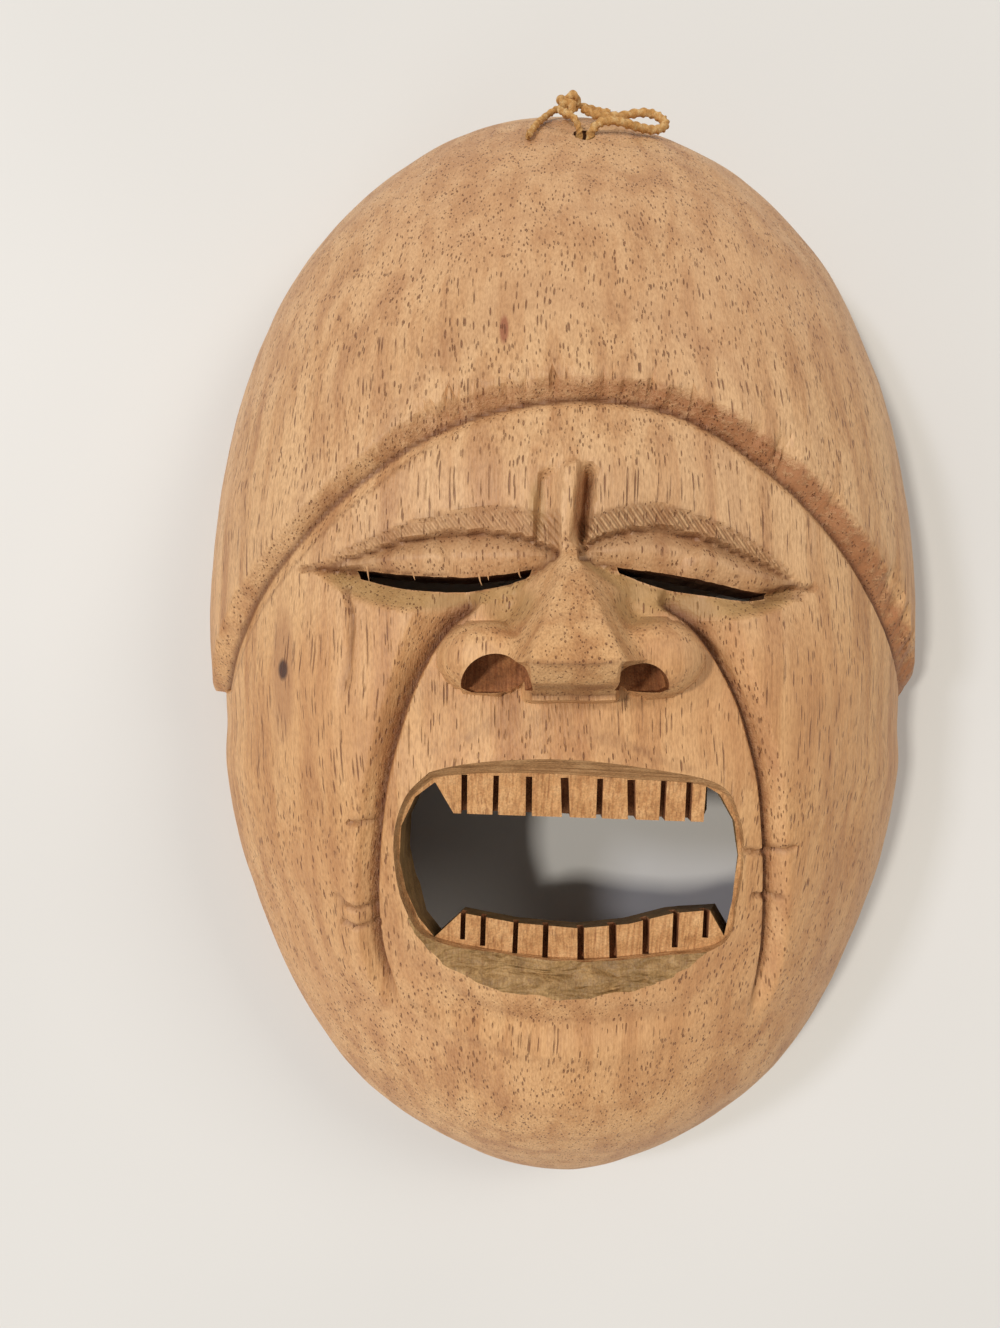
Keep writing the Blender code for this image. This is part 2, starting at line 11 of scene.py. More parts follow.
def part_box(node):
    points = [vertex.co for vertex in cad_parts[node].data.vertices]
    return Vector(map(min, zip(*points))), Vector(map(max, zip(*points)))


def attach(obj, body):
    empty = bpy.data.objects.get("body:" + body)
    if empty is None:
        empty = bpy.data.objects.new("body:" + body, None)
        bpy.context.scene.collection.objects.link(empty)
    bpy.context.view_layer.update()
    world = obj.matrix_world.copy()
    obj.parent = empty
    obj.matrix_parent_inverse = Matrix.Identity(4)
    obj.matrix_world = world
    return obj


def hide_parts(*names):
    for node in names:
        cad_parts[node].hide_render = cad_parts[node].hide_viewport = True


bl_info = {
    "name": "Carved wood mask",
    "version": (1, 0, 0),
    "blender": (4, 5, 0),
    "location": "View3D > Sidebar > Mask",
    "description": "Carves a howling wood wall mask with its hanging twine",
    "category": "Add Mesh",
}

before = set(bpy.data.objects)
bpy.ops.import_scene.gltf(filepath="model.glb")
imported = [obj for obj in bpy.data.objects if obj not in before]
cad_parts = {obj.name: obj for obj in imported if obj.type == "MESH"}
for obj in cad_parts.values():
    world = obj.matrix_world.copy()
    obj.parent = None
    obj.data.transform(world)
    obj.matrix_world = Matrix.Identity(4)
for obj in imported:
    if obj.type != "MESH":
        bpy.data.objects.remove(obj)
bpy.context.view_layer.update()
MM = 0.001

# Sizes that the carving shares with the solid, in metres
LOW, HIGH = (Vector(c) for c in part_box("mask"))
WIDTH, LENGTH, DEPTH = HIGH - LOW
WALL = 9.0 * MM
HOLLOW_HEIGHT = 38 * MM
CORD_HOLE = 3.8 * MM
TWINE = 1.4 * MM
KNOT = 4.6 * MM
STOPPER = 5.2 * MM
KERF = 1.05 * MM

# Half thickness of the twine's two plies on the loop, in the knots and on the tails, the waist between the
# plies as a share of it, the length of one turn of the twist, and a loose fibre's half thickness and reach
LOOP_STRAND = 0.60 * TWINE
KNOT_STRAND = 0.58 * TWINE
TAIL_STRAND = 0.46 * TWINE
PLY_WAIST = 0.74
TWIST = 3.4 * MM
FIBRE = 0.11 * MM
FRAY = 2.0 * MM

# The carving is set out in units of 1 mm on the real mask, from a point by the nose
MIDDLE = np.array([0.5, 0.3, 0])

# The egg that the mask is cut from, in these units
EGG_HALF_WIDTH = 68.0
EGG_MIDDLE_X = -0.5
EGG_MIDDLE_Y = 2.0
EGG_CROWN = 99.7
EGG_CHIN = 106.7
EGG_HEIGHT = 55.0
EGG_FULLNESS = 2.15
CAP_STEP = 2.4
NOSE_TOP = 68.0

# One of these units in metres, across, along and up
EGG_LENGTH = EGG_CROWN + EGG_CHIN - CAP_STEP
UNIT = np.array([WIDTH / 2 / EGG_HALF_WIDTH, LENGTH / EGG_LENGTH, DEPTH / NOSE_TOP])

# Faces across and along before the carved parts are made finer, and how far the block reaches below the
# table before it is cut off flat
COLUMNS = 112
ROWS = 140
SKIRT = 6 * MM

# Heights that the upright cuts reach down and up to, in units
CUT_LOW = 20
CUT_HIGH = 70

# Mouth of the twine's hole in units, and its way in
HOLE_PLACE = (3.5, 87.0, 30.7)
HOLE_WAY = Vector((0.0, -0.80, -0.60))

# The kinds of mark that the wood's material reads from the mesh: torn fibres, which also lay painted shade
# on the frown and the folds; painted shade in the cut lines, grooves and cracks, together with the growth
# rings; the knife's hatch; and the greenish tint of the scoops
MARKS = ("torn", "crease_shade_and_rings", "hatch", "scoop")

# Half thickness of the splinters in the left slit, then each one's place across, lean and length
SPLINTER = 0.17 * MM
SPLINTERS = ((-30.6, 0.3, 2.4), (-23.6, 0.3, 1.3), (-13.6, 0.5, 1.9), (-12.2, 0.1, 1.2), (-7.6, 0.4, 1.4))

# How far the hatch on the brows and the strokes on the lips are turned
HATCH_TURN = math.radians(-36)
STROKE_TURN = 0.16

# Each face cut across the grain: its tones, how dark its pores are, its roughness, how torn it is, then the
# scale of the blade's strokes along each axis with their height in mm, and the height of its scallops
CUT_FACES = {
    "knife_cut_lips": (("A67A4E", "BE9060", "D0A472"), 0.25, 0.6, 0.12, ((0.06, 1.0, 1.0), 0.9)),
    "gouged_lower_lip": (("86683F", "A37F50", "C29C68"), 0.30, 0.5, 0.2, ((0.13, 0.42, 0.42), 3.0)),
    "chiselled_teeth": (("C08C58", "D29E68", "E2B27C"), 0.45, 0.78, 0.22),
    "sawn_tooth_ends": (("7E6238", "8F7044", "A58252"), 0.3, 0.8, 0.2),
    "saw_cuts": (("8E5A38", "A87048", "C08A5C"), 0.3, 0.85, 0.25),
    # The nostrils' darker tones are partly painted shade inside them
    "shaded_pared_nostrils": (("8E5A34", "A86E42", "C08652"), 0.4, 0.75, 0.22),
    # The dark tones of the slits and the twine's hole are partly torn fibres and partly painted shade inside
    # those narrow openings
    "shaded_torn_slits": (("5E3D26", "7A5233", "946743"), 0.4, 0.85, 0.3),
    "gouged_hollow": (("B48659", "C49669", "D0A678"), 0.55, 0.72, 0.12, None, 1.1),
}

# Each blemish in the wood: its middle and half sizes in mm, its colour and its strength
BLEMISHES = (
    ((-45.8, -5.0, 34), (2.2, 10.5, 30), "A2714B", 0.6),
    ((-45.8, -4.6, 34), (1.0, 1.7, 30), "452A20", 0.95),
    ((-9.3, 47.9, 50), (0.7, 2.3, 30), "8E4F34", 0.8),
)

# How far the table's top is below the mask's rim
TABLE_GAP = 0.3 * MM

# The photo's camera, over the nose and turned a little to the left
CAMERA_PLACE = (-5.0 * MM, -3.7 * MM, 204 * MM)
CAMERA_TURN = math.radians(1.83)
CAMERA_LENS = 27.19

# The hanging loop, its knot, its stopper and the knot's tails, in mm from the origin
LOOP_ROUTE = [(4.85, 77.1, 23), (4.85, 80.1, 25.3), (4.85, 83.3, 27.7), (4.85, 85.3, 29.2)]
LOOP_ROUTE += [(4.85, 86.6, 30.2), (5.24, 87.86, 31.04), (6.3, 88.9, 31.55), (7.76, 89.44, 31.5)]
LOOP_ROUTE += [(9.8, 89.6, 31.0), (11.8, 89.5, 30.1), (13.6, 89.55, 28.95), (15.4, 89.75, 27.85)]
LOOP_ROUTE += [(17.0, 90.1, 27.1), (18.2, 91.05, 26.1), (18.65, 92.35, 24.95), (18.2, 93.65, 24.05)]
LOOP_ROUTE += [(17.0, 94.62, 23.6), (15.3, 94.95, 23.75), (13.2, 94.6, 24.15), (10.9, 93.8, 24.9)]
LOOP_ROUTE += [(8.7, 93.2, 25.9), (6.6, 93.25, 26.4), (5.1, 93.9, 26.4), (4.1, 94.7, 26.1)]
KNOT_PLACE = (1.5, 95.9, 25.3)
STOPPER_PLACE = (4, 74.2, 20.9)
TAIL_ROUTES = [
    [(0.7, 95.7, 25.1), (-0.4, 95.3, 24.9), (-1.7, 94.3, 25.4), (-3.1, 92.3, 27.2), (-4.1, 90.3, 29.3)],
    [(2.1, 96.2, 24.6), (3.4, 97.2, 22.4), (5.3, 97.8, 20.5), (7.3, 97.8, 19.5), (9.3, 97.4, 19.6)],
    [(1.3, 95.6, 25.2), (0.5, 94.7, 26.6), (-0.1, 93.2, 28.7), (0.1, 91.8, 30.6), (1.1, 90.7, 31.9)],
]
TAIL_ROUTES[0] += [(-4.9, 88.3, 31.2), (-5.7, 86.3, 32.8)]
TAIL_ROUTES[2] += [(2.3, 89.5, 32.2), (3, 88.3, 31.5), (3.15, 87.1, 30.6), (3.15, 83.3, 27.7)]
TAIL_ROUTES[2] += [(3.15, 80.1, 25.3), (3.15, 77.4, 23.2)]


def held(value):
    """A value held between 0 and 1."""
    return np.clip(value, 0, 1)


def smooth(t):
    """0 to 1 with soft ends."""
    t = held(t)
    return t * t * (3 - 2 * t)


def ramp(value, start, end):
    """Soft step from 0 at start to 1 at end."""
    return smooth((value - start) / (end - start))


def fade(value, start, end):
    """Soft step from 1 at start to 0 at end."""
    return 1 - ramp(value, start, end)


def stripe(value, start, end):
    """1 close to 0 on both sides, falling softly from start to 0 at end."""
    return fade(abs(value), start, end)


def mound(x, y, middle, wide, high):
    """1 in the middle of an oval place, falling softly to 0 at its edge."""
    return 1 - smooth(np.hypot((x - middle[0]) / wide, (y - middle[1]) / high))


def curve_points(points, count=48):
    """Points along a Catmull-Rom curve through the given ones."""
    p = np.array(points, float)
    p = np.vstack([2 * p[0] - p[1], p, 2 * p[-1] - p[-2]])
    spans = len(p) - 3
    out = []
    for k in np.linspace(0, spans, count):
        i = min(int(k), spans - 1)
        t = k - i
        a, b, c, d = p[i : i + 4]
        bend = 2 * a - 5 * b + 4 * c - d
        twist = 3 * b - a - 3 * c + d
        out.append(0.5 * (2 * b + (c - a) * t + bend * t**2 + twist * t**3))
    return np.array(out)


def height_of(points, x):
    """y of a line drawn across the face, read at x. The points run left to right."""
    line = curve_points(points)
    return np.interp(x, line[:, 0], line[:, 1])


def along(points, x, y):
    """Distance to a cut line, side of it (+1 on its right), and share of the way along it."""
    line = curve_points(points)
    best = np.full(x.shape, 1e9)
    side = np.ones(x.shape)
    share = np.zeros(x.shape)
    for i in range(len(line) - 1):
        (ax, ay), (bx, by) = line[i], line[i + 1]
        dx, dy = bx - ax, by - ay
        t = held(((x - ax) * dx + (y - ay) * dy) / (dx * dx + dy * dy))
        gx, gy = x - ax - t * dx, y - ay - t * dy
        d = np.hypot(gx, gy)
        near = d < best
        best = np.where(near, d, best)
        side = np.where(near, np.sign(dy * gx - dx * gy), side)
        share = np.where(near, (i + t) / (len(line) - 1), share)
    return best, side, share


def merged(a, b, soft):
    """The higher of two forms, run into each other over a soft distance."""
    near = np.clip(soft - abs(a - b), 0, None) / soft
    return np.maximum(a, b) + near**2 * soft / 4


# Lines of the carving, left to right or from the nose down

EYE_LINES = ("brow_top", "lid_top", "lid_edge", "slit_floor", "scoop")

EYES = (
    {
        "brow_top": [(-42, 11.8), (-36, 14.4), (-26, 17.8), (-17.4, 19.5), (-10, 20.0), (-4.5, 19.0)],
        "lid_top": [(-42, 11.6), (-36, 13.0), (-26, 15.6), (-16, 16.7), (-7, 15.6), (-1.5, 13.4)],
        "lid_edge": [(-42, 11.4), (-33, 10.9), (-26, 10.0), (-18, 9.4), (-10, 9.8), (-4, 11), (-1.5, 12.6)],
        "slit_floor": [
            (-42, 11.3), (-34, 10.1), (-26, 8.1), (-18, 7.4), (-11, 8.1), (-5.5, 9.8), (-1.5, 12.4)
        ],
        "scoop": [(-42, 11.0), (-34, 6.2), (-24, 4.0), (-14, 5.0), (-7, 7.6), (-1.5, 11.6)],
        "slit": (-33.5, -5.5),
    },
    {
        "brow_top": [(3.6, 18.4), (9, 20.0), (15, 20.2), (25, 17.2), (33, 12.8), (38, 9.0)],
        "lid_top": [(1.5, 13.4), (6, 15.8), (13.5, 17.0), (22, 15.6), (30, 12.6), (38, 8.8)],
        "lid_edge": [(1.5, 12.2), (8, 10.8), (15, 9.9), (22, 8.6), (29, 7.2), (33, 7.4), (38, 8.6)],
        "slit_floor": [(1.5, 12.0), (8, 10.2), (14, 8.1), (22, 6.7), (28, 6.1), (32, 6.7), (38, 8.4)],
        "scoop": [(1.5, 11.0), (8, 7.0), (16, 3.6), (25, 2.6), (34, 4.6), (38, 7.6)],
        "slit": (7.5, 31.5),
    },
)

FOLDS = (
    [(-13.5, 6.0), (-19.5, 1.6), (-24.5, -6.5), (-28.6, -19), (-31, -34), (-31.4, -50), (-27.7, -63.6)],
    [(14.0, 6.2), (20.5, 1.6), (26.3, -7.5), (30.4, -20), (32.4, -35), (33.4, -51), (31.8, -66)],
)

NICKS = (
    [(-37.5, -42.0), (-34.5, -43.6), (-31.4, -43.2)],
    [(-36.6, -46.2), (-33.6, -46.8), (-31.0, -46.0)],
    [(-34.8, -29.3), (-31.4, -29.0)],
    [(27.8, -33.2), (31.5, -33.8), (36.0, -32.9)],
    [(30.4, -41.0), (34.8, -41.6)],
)

# Fine open creases: the long one on the left cheek, the eyes' outer corners, and under the nose's tip
CRACKS = (
    [(-36.1, 7.9), (-34.3, 2.2), (-34.9, -8.2)],
    [(29.1, 6.2), (35.0, 7.5), (40.4, 8.0)],
    [(30.5, 5.2), (34.0, 6.4), (38.0, 6.6)],
    [(-44.5, 11.6), (-40.0, 11.4), (-34.3, 10.8)],
    [(-6.4, -7.3), (-1.0, -7.6), (5.9, -7.4)],
    [(-5.6, -8.6), (0.5, -8.8), (6.8, -8.4)],
)

# Growth rings that show as dotted arcs on the chin and the upper lip
RINGS = (
    [(-25.0, -53.0), (-14.7, -58.8), (-7.7, -61.6), (3.4, -62.4), (19.7, -60.5), (27.0, -57.0)],
    [(-29.0, -57.5), (-20.0, -64.5), (-6.0, -68.5), (8.0, -68.8), (21.0, -66.0), (30.0, -60.0)],
    [(-16.3, -15.4), (-10.0, -12.2), (-1.3, -11.8), (6.0, -14.6), (12.5, -18.0)],
    [(-21.0, -17.5), (-13.0, -14.6), (-1.0, -14.0), (9.0, -16.6), (19.5, -20.5)],
)

ARCH = [(-72, -22), (-65, -8.5), (-56, 5.5), (-46, 15.6), (-35, 24.6), (-18, 33.6), (0, 37)]
ARCH += [(18, 34.8), (32, 27.2), (43, 18.6), (54, 7), (64.5, -9.5), (71, -24)]
# Foot of the cap at its left end, and how much lower it is at its right end
CAP_FOOT_Y = -9.3
CAP_FOOT_LEAN = 1.3

NOSE_ROOT_Y = 14.2
NOSE_TIP_Y = -4.0
NOSE_FOOT_Y = -9.4
NOSE_HEIGHT = 15.5
# Each wing's middle, half width, half height and how far it stands up
WINGS = ((-12.9, -3.1, 7.6, 5.7, 8.4), (13.4, -3.1, 7.7, 6.0, 8.0))
# Each dimple beside the bridge: its middle, half width, half height and depth
DIMPLES = ((-9.3, 5.0, 5.0, 4.0, 2.0), (10.6, 4.8, 5.0, 4.0, 2.2))
# Where the greenish tint of a scoop shows beside the nose: the dimples, and a strip by the left frown
TINTS = (*DIMPLES, (-4.8, 20, 1.6, 5, 0))

# The mouth's inner edge, where the teeth stand, and the height of their fronts above and below
MOUTH_X = 0.2
MOUTH_Y = -34.5
MOUTH = [(-20.8, -21.8), (-24.6, -25.2), (-26.6, -30.5), (-26.6, -36.5), (-25.2, -42.5), (-21.6, -47.6)]
MOUTH += [(-10, -50.2), (2, -51.3), (13, -50.4), (24.6, -48.2), (26.6, -41), (27.2, -34), (26.2, -28)]
MOUTH += [(22.6, -23.2), (10, -21.8), (-8, -20.9)]
TEETH_Z = (48.4, 42.2)

# What shows through between the teeth: the left side, the lower teeth's tips, then the right side, and the
# height down to which its sides are upright
BITE = [(-17.8, -27.4), (-20.6, -22.4), (-23.8, -24.8), (-26.1, -29.5), (-26.5, -35), (-25.6, -40)]
BITE += [(-23.8, -44.3), (-21.2, -47.6), (-16.9, -43.6)]
BITE += [(-8, -45.2), (2, -46.0), (10, -45.2), (17, -43.4), (22.4, -42.9)]
BITE += [(24.6, -47.0), (26.0, -41), (26.8, -34), (26.0, -28.5), (23.6, -24.2), (21.4, -22.9), (21.2, -28.6)]
BITE_STRAIGHT = 45

# Each row's saw cuts: where they end in the lip and at the teeth's tips, their height, and each one's place
KERF_ROWS = (
    (-21.0, -29.5, TEETH_Z[0] - 1.4, [-16.1, -11.2, -6.0, -0.3, 5.0, 10.0, 14.8, 18.8]),
    (-50.2, -41.0, TEETH_Z[1] - 0.8, [-16.5, -13.3, -8.1, -3.3, 2.3, 7.4, 12.7, 17.4, 22.2]),
)
KERF_LEAN = math.radians(24)

# Foot of the nostrils, then each one's middle, half width and height
NOSTRIL_Y = -7.4
NOSTRILS = ((-10.7, 5.3, 5.4), (10.4, 4.0, 4.0))


def egg_normal(x, y, z):
    """Outward direction on the egg."""
    reach = np.where(y > EGG_MIDDLE_Y, EGG_CROWN, EGG_CHIN)
    n = EGG_FULLNESS
    across, up = x - EGG_MIDDLE_X, y - EGG_MIDDLE_Y
    g = np.stack(
        [
            np.sign(across) * abs(across) ** (n - 1) / EGG_HALF_WIDTH**n,
            np.sign(up) * abs(up) ** (n - 1) / reach**n,
            abs(z) ** (n - 1) / EGG_HEIGHT**n,
        ]
    )
    return g / np.maximum(np.linalg.norm(g, axis=0), 1e-12)


def slimmed(y):
    """The crown and the chin are slimmer than a plain egg's."""
    crown = 0.10 * (np.clip(y - 66, 0, None) / 30) ** 2
    chin = 0.12 * (np.clip(-78 - y, 0, None) / 18) ** 2
    return 1 - crown - chin


def arch_distance(x, y):
    """How far a point is outside the arch where the cap meets the brow, negative on the face."""
    line = height_of(ARCH, x)
    slope = height_of(ARCH, x + 0.5) - height_of(ARCH, x - 0.5)
    return (y - line) / np.hypot(1, slope)


def cap_foot(x):
    """y of the cap's foot, a little lower on the right."""
    return CAP_FOOT_Y - CAP_FOOT_LEAN * ramp(x, -50, 50)


def brow_side_width(x):
    """Width of the groove's side towards the brow, wider on the left."""
    return 1.1 + 1.6 * ramp(-x, 8, 35)


def cap_relief(x, y, tear=0.0):
    """The face lies below the cap, with a slanted cut and a sharp groove between them."""
    d = arch_distance(x, y)
    bevel = 1.7 + 1.0 * ramp(x, 5, 50) + tear
    groove = 0.9
    cap_side = -(CAP_STEP + groove) * (1 - held((d - 0.25) / bevel)) ** 1.5
    face_side = -CAP_STEP - groove * (1 - held((-d - 0.25) / brow_side_width(x)))
    above = np.where(d > 0, cap_side, face_side)
    jowl = -CAP_STEP + 0.9 * ramp(y, -14, -24) * ramp(y, -60, -30)
    return np.where(y > cap_foot(x), above, jowl)


def eye_lines(eye, x):
    """y of an eye's five lines at x, and where x is between its corners."""
    ends = np.array(eye["lid_top"], float)[[0, -1], 0]
    return [height_of(eye[k], x) for k in EYE_LINES], (x > ends[0]) & (x < ends[1])


def eye_relief(x, y, eye):
    """A brow band falling back to a heavy lid, and the scoop under the slit."""
    (brow, lid, edge, floor, scoop), inside = eye_lines(eye, x)
    band = (brow - y) / np.maximum(brow - lid, 0.3)
    fall = (lid - y) / np.maximum(lid - edge, 0.3)
    under = (floor - y) / np.maximum(floor - scoop, 0.3)
    wide = held((brow - lid) / 2.5)
    band_form = wide * (-0.6 * held(band / 0.12) - 0.6 * band)
    swell = 1 - (1 - held(fall / 0.6)) ** 2
    tuck = np.clip((fall - 0.5) / 0.5, 0, None) ** 1.5
    lid_form = -3.1 * wide + held((lid - edge) / 5.5) * (2.3 * swell - 2.0 * tuck)
    scoop_form = -3.4 * held((floor - scoop) / 3.0) * held(1 - under) ** 0.9
    step = ramp(lid - y, -0.3, 0.35) * (brow > lid)
    out = np.where((band > 0) & (brow > lid), np.maximum(band_form, -1.2), 0.0)
    out = np.where(y > floor, out * (1 - step) + np.maximum(lid_form, -3.4) * step, 0.0)
    out = np.where((y <= floor) & (under < 1), scoop_form, out)
    return np.where(inside, out, 0)


def frown_relief(x, y):
    """Two upright folds between the brows, the right one deep with one steep side."""
    lean = x - 0.10 * (y - 20)
    tall = ramp(y, 13.0, 16.0) * fade(y + 0.35 * abs(lean - 0.5), 26.0, 27.6)
    ridge = 1.1 * stripe(lean, 0.5, 3.0)
    deep = np.where(lean < 3.1, ramp(lean, 0.3, 2.9), 1 - held((lean - 3.2) / 0.7))
    shallow = np.where(lean < -4.2, ramp(lean, -5.2, -4.5), 1 - held((lean + 4.2) / 3.4))
    return tall * (ridge - 3.2 * deep - 1.5 * shallow)


def fold_relief(x, y):
    """Deep cuts from the nose to the chin, steep on the lip side, the cheek standing over them."""
    out = np.zeros(x.shape)
    for points, outer in zip(FOLDS, (1, -1)):
        d, side, share = along(points, x, y)
        live = ramp(share, 0.0, 0.06) * fade(share, 0.86, 1.0)
        deep = 3.8 - 1.9 * ramp(share, 0.1, 0.42)
        cheek = side * outer > 0
        wide = np.where(cheek, 5.0 - 2.6 * ramp(share, 0.12, 0.4), 1.0)
        out -= live * deep * (1 - held((d - 0.2) / wide)) ** np.where(cheek, 1.0, 1.4)
        out += live * 1.3 * cheek * (1 - smooth((d - wide) / 14)) * ramp(d, 0, wide)
    return out


def nick_relief(x, y):
    """Short cuts where the knife slipped over the folds."""
    return -sum(0.7 * fade(along(ends, x, y)[0], 0.1, 0.8) for ends in (*NICKS, *CRACKS))


def muzzle_relief(x, y):
    """Broad swells round the mouth, the chin and the cheekbones."""
    mouth = 3.2 * mound(x, y, (-0.4, -35), 34, 30)
    chin = 2.2 * mound(x, y, (0, -78), 34, 20)
    under_lip = -1.2 * mound(x, y, (0, (x / 26) ** 2 * 4 - 63), 30, 5)
    bones = sum(1.6 * mound(x, y, (middle, -8), 20, 22) for middle in (-40, 40))
    forehead = 1.2 * mound(x, y, (0, 26), 34, 14)
    return mouth + chin + under_lip + bones + forehead


def nose_relief(x, y):
    """A flat-fronted wedge with a round wing each side and a ledge below, raised straight up."""
    t = held((NOSE_ROOT_Y - y) / (NOSE_ROOT_Y - NOSE_TIP_Y))
    below = np.clip(NOSE_TIP_Y - y, 0, None)
    under = NOSE_HEIGHT - 1.3 * below
    ledge = 7.4 - 1.1 * (below - 3.2)
    tall = np.where(y < NOSE_TIP_Y, under + (ledge - under) * ramp(below, 3.1, 3.9), NOSE_HEIGHT * t**0.9)
    flat = 0.2 + 6.7 * t**1.15
    foot = 2.0 + 13.2 * t**0.85
    slope = held((abs(x - 0.5) - flat) / (foot - flat))
    slope = np.where(y < NOSE_TIP_Y, held((abs(x - 0.5) - 6.3) / 1.2), slope)
    joined = np.where(t > 0, tall * (1 - slope) ** 1.3, 0)
    for wing_x, wing_y, wide, high, top in WINGS:
        r = np.hypot((x - wing_x) / wide, (y - wing_y) / high)
        wing = top * held(1 - r**3.2) ** 0.45
        joined = merged(joined, wing, 4.5 * ramp(1 - r, 0, 0.3) + 0.01)
    for dimple_x, dimple_y, wide, high, deep in DIMPLES:
        joined = joined - deep * mound(x, y, (dimple_x, dimple_y), wide, high)
    return joined * ramp(y, NOSE_FOOT_Y - 0.5, NOSE_FOOT_Y)


def egg_point(u, v):
    """Grid square to the plain egg."""
    p = u * np.sqrt(1 - v * v / 2)
    q = v * np.sqrt(1 - u * u / 2)
    radius = np.hypot(p, q)
    cos_ = np.where(radius > 0, p / np.maximum(radius, 1e-9), 1)
    sin_ = q / np.maximum(radius, 1e-9)
    n = EGG_FULLNESS
    corner = (abs(cos_) ** n + abs(sin_) ** n) ** (-1 / n)
    turn = held(radius) * math.pi / 2
    out = np.sin(turn) ** (2 / n)
    reach = np.where(sin_ > 0, EGG_CROWN, EGG_CHIN)
    y = EGG_MIDDLE_Y + reach * corner * sin_ * out
    x = EGG_MIDDLE_X + EGG_HALF_WIDTH * corner * cos_ * out * slimmed(y)
    z = EGG_HEIGHT * held(np.cos(turn)) ** (2 / n)
    return x, y, z


def uneven(x, y, z, size, seed):
    """Even random swells of about the given size in mm, from -1 to 1."""
    shift = Vector((seed, 2.3 * seed, -1.7 * seed))
    return np.array([noise.noise(Vector(p) / size + shift) for p in zip(x, y, z)])


def ragged(x, y, z):
    """How much wider, in mm, the cap's slanted cut is where the fibres broke out."""
    broad = ramp(uneven(x, 0.35 * y, z, 3.4, 6), -0.15, 0.35)
    spikes = ramp(uneven(x, 0.12 * y, 0.3 * z, 1.1, 7), -0.1, 0.3)
    return (1.3 * broad + 1.2 * spikes * broad + 0.4 * spikes) * (0.3 + 0.9 * ramp(x, -32, -18))


def carved_point(x, y, z):
    """The egg's point moved to the carved surface, with the marks of the hand."""
    face = np.where(arch_distance(x, y) < 0, 1.0, 0.0) * ramp(z, 8, 20)
    lines = eye_relief(x, y, EYES[0]) + eye_relief(x, y, EYES[1])
    lines = lines + frown_relief(x, y) + fold_relief(x, y) + nick_relief(x, y)
    out = cap_relief(x, y, ragged(x, y, z)) + face * lines
    out = out + ramp(z, 4, 24) * muzzle_relief(x, y) * (y < 40)
    out = out + 0.34 * uneven(x, y, z, 17, 1) + 0.10 * uneven(x, y, z, 5, 2)
    flutes = np.sin(7.2 * np.arctan2(x, 118 - y) * 6 + 1.5 * uneven(x, y, z, 22, 3))
    out = out + 0.09 * flutes * ramp(y, 34, 52) * fade(y, 84, 96)
    carved = np.stack([x, y, z]) + egg_normal(x, y, z) * out
    carved[2] += nose_relief(x, y)
    return carved


def detail_level(x, y):
    """How many times the faces at a place are made finer: 2 on the carved lines, 1 on the face."""
    arch = arch_distance(x, y)
    level = np.where((arch < 2) & (y > -72), 1, 0)
    fine = (abs(arch) < 3.4) & (y > -13)
    fine |= (abs(y - CAP_FOOT_Y) < 2.2) & (abs(x) > 55)
    fine |= (x > -44) & (x < 40) & (y > 1) & (y < 23.5 - 0.2 * abs(x))
    fine |= (abs(x) < 8) & (y > 12) & (y < 28.5)
    fine |= (abs(x) < 22.5) & (y > -11) & (y < 15)
    ring = np.hypot((x - MOUTH_X) / 30, (y + 38) / 23)
    fine |= (ring < 1.05) & ~((abs(x) < 24) & (y > -41) & (y < -30))
    for points in FOLDS:
        d, _, share = along(points, x, y)
        fine |= (d < 4.2) & (share < 0.97)
    return np.where(fine & (arch < 4), 2, level)


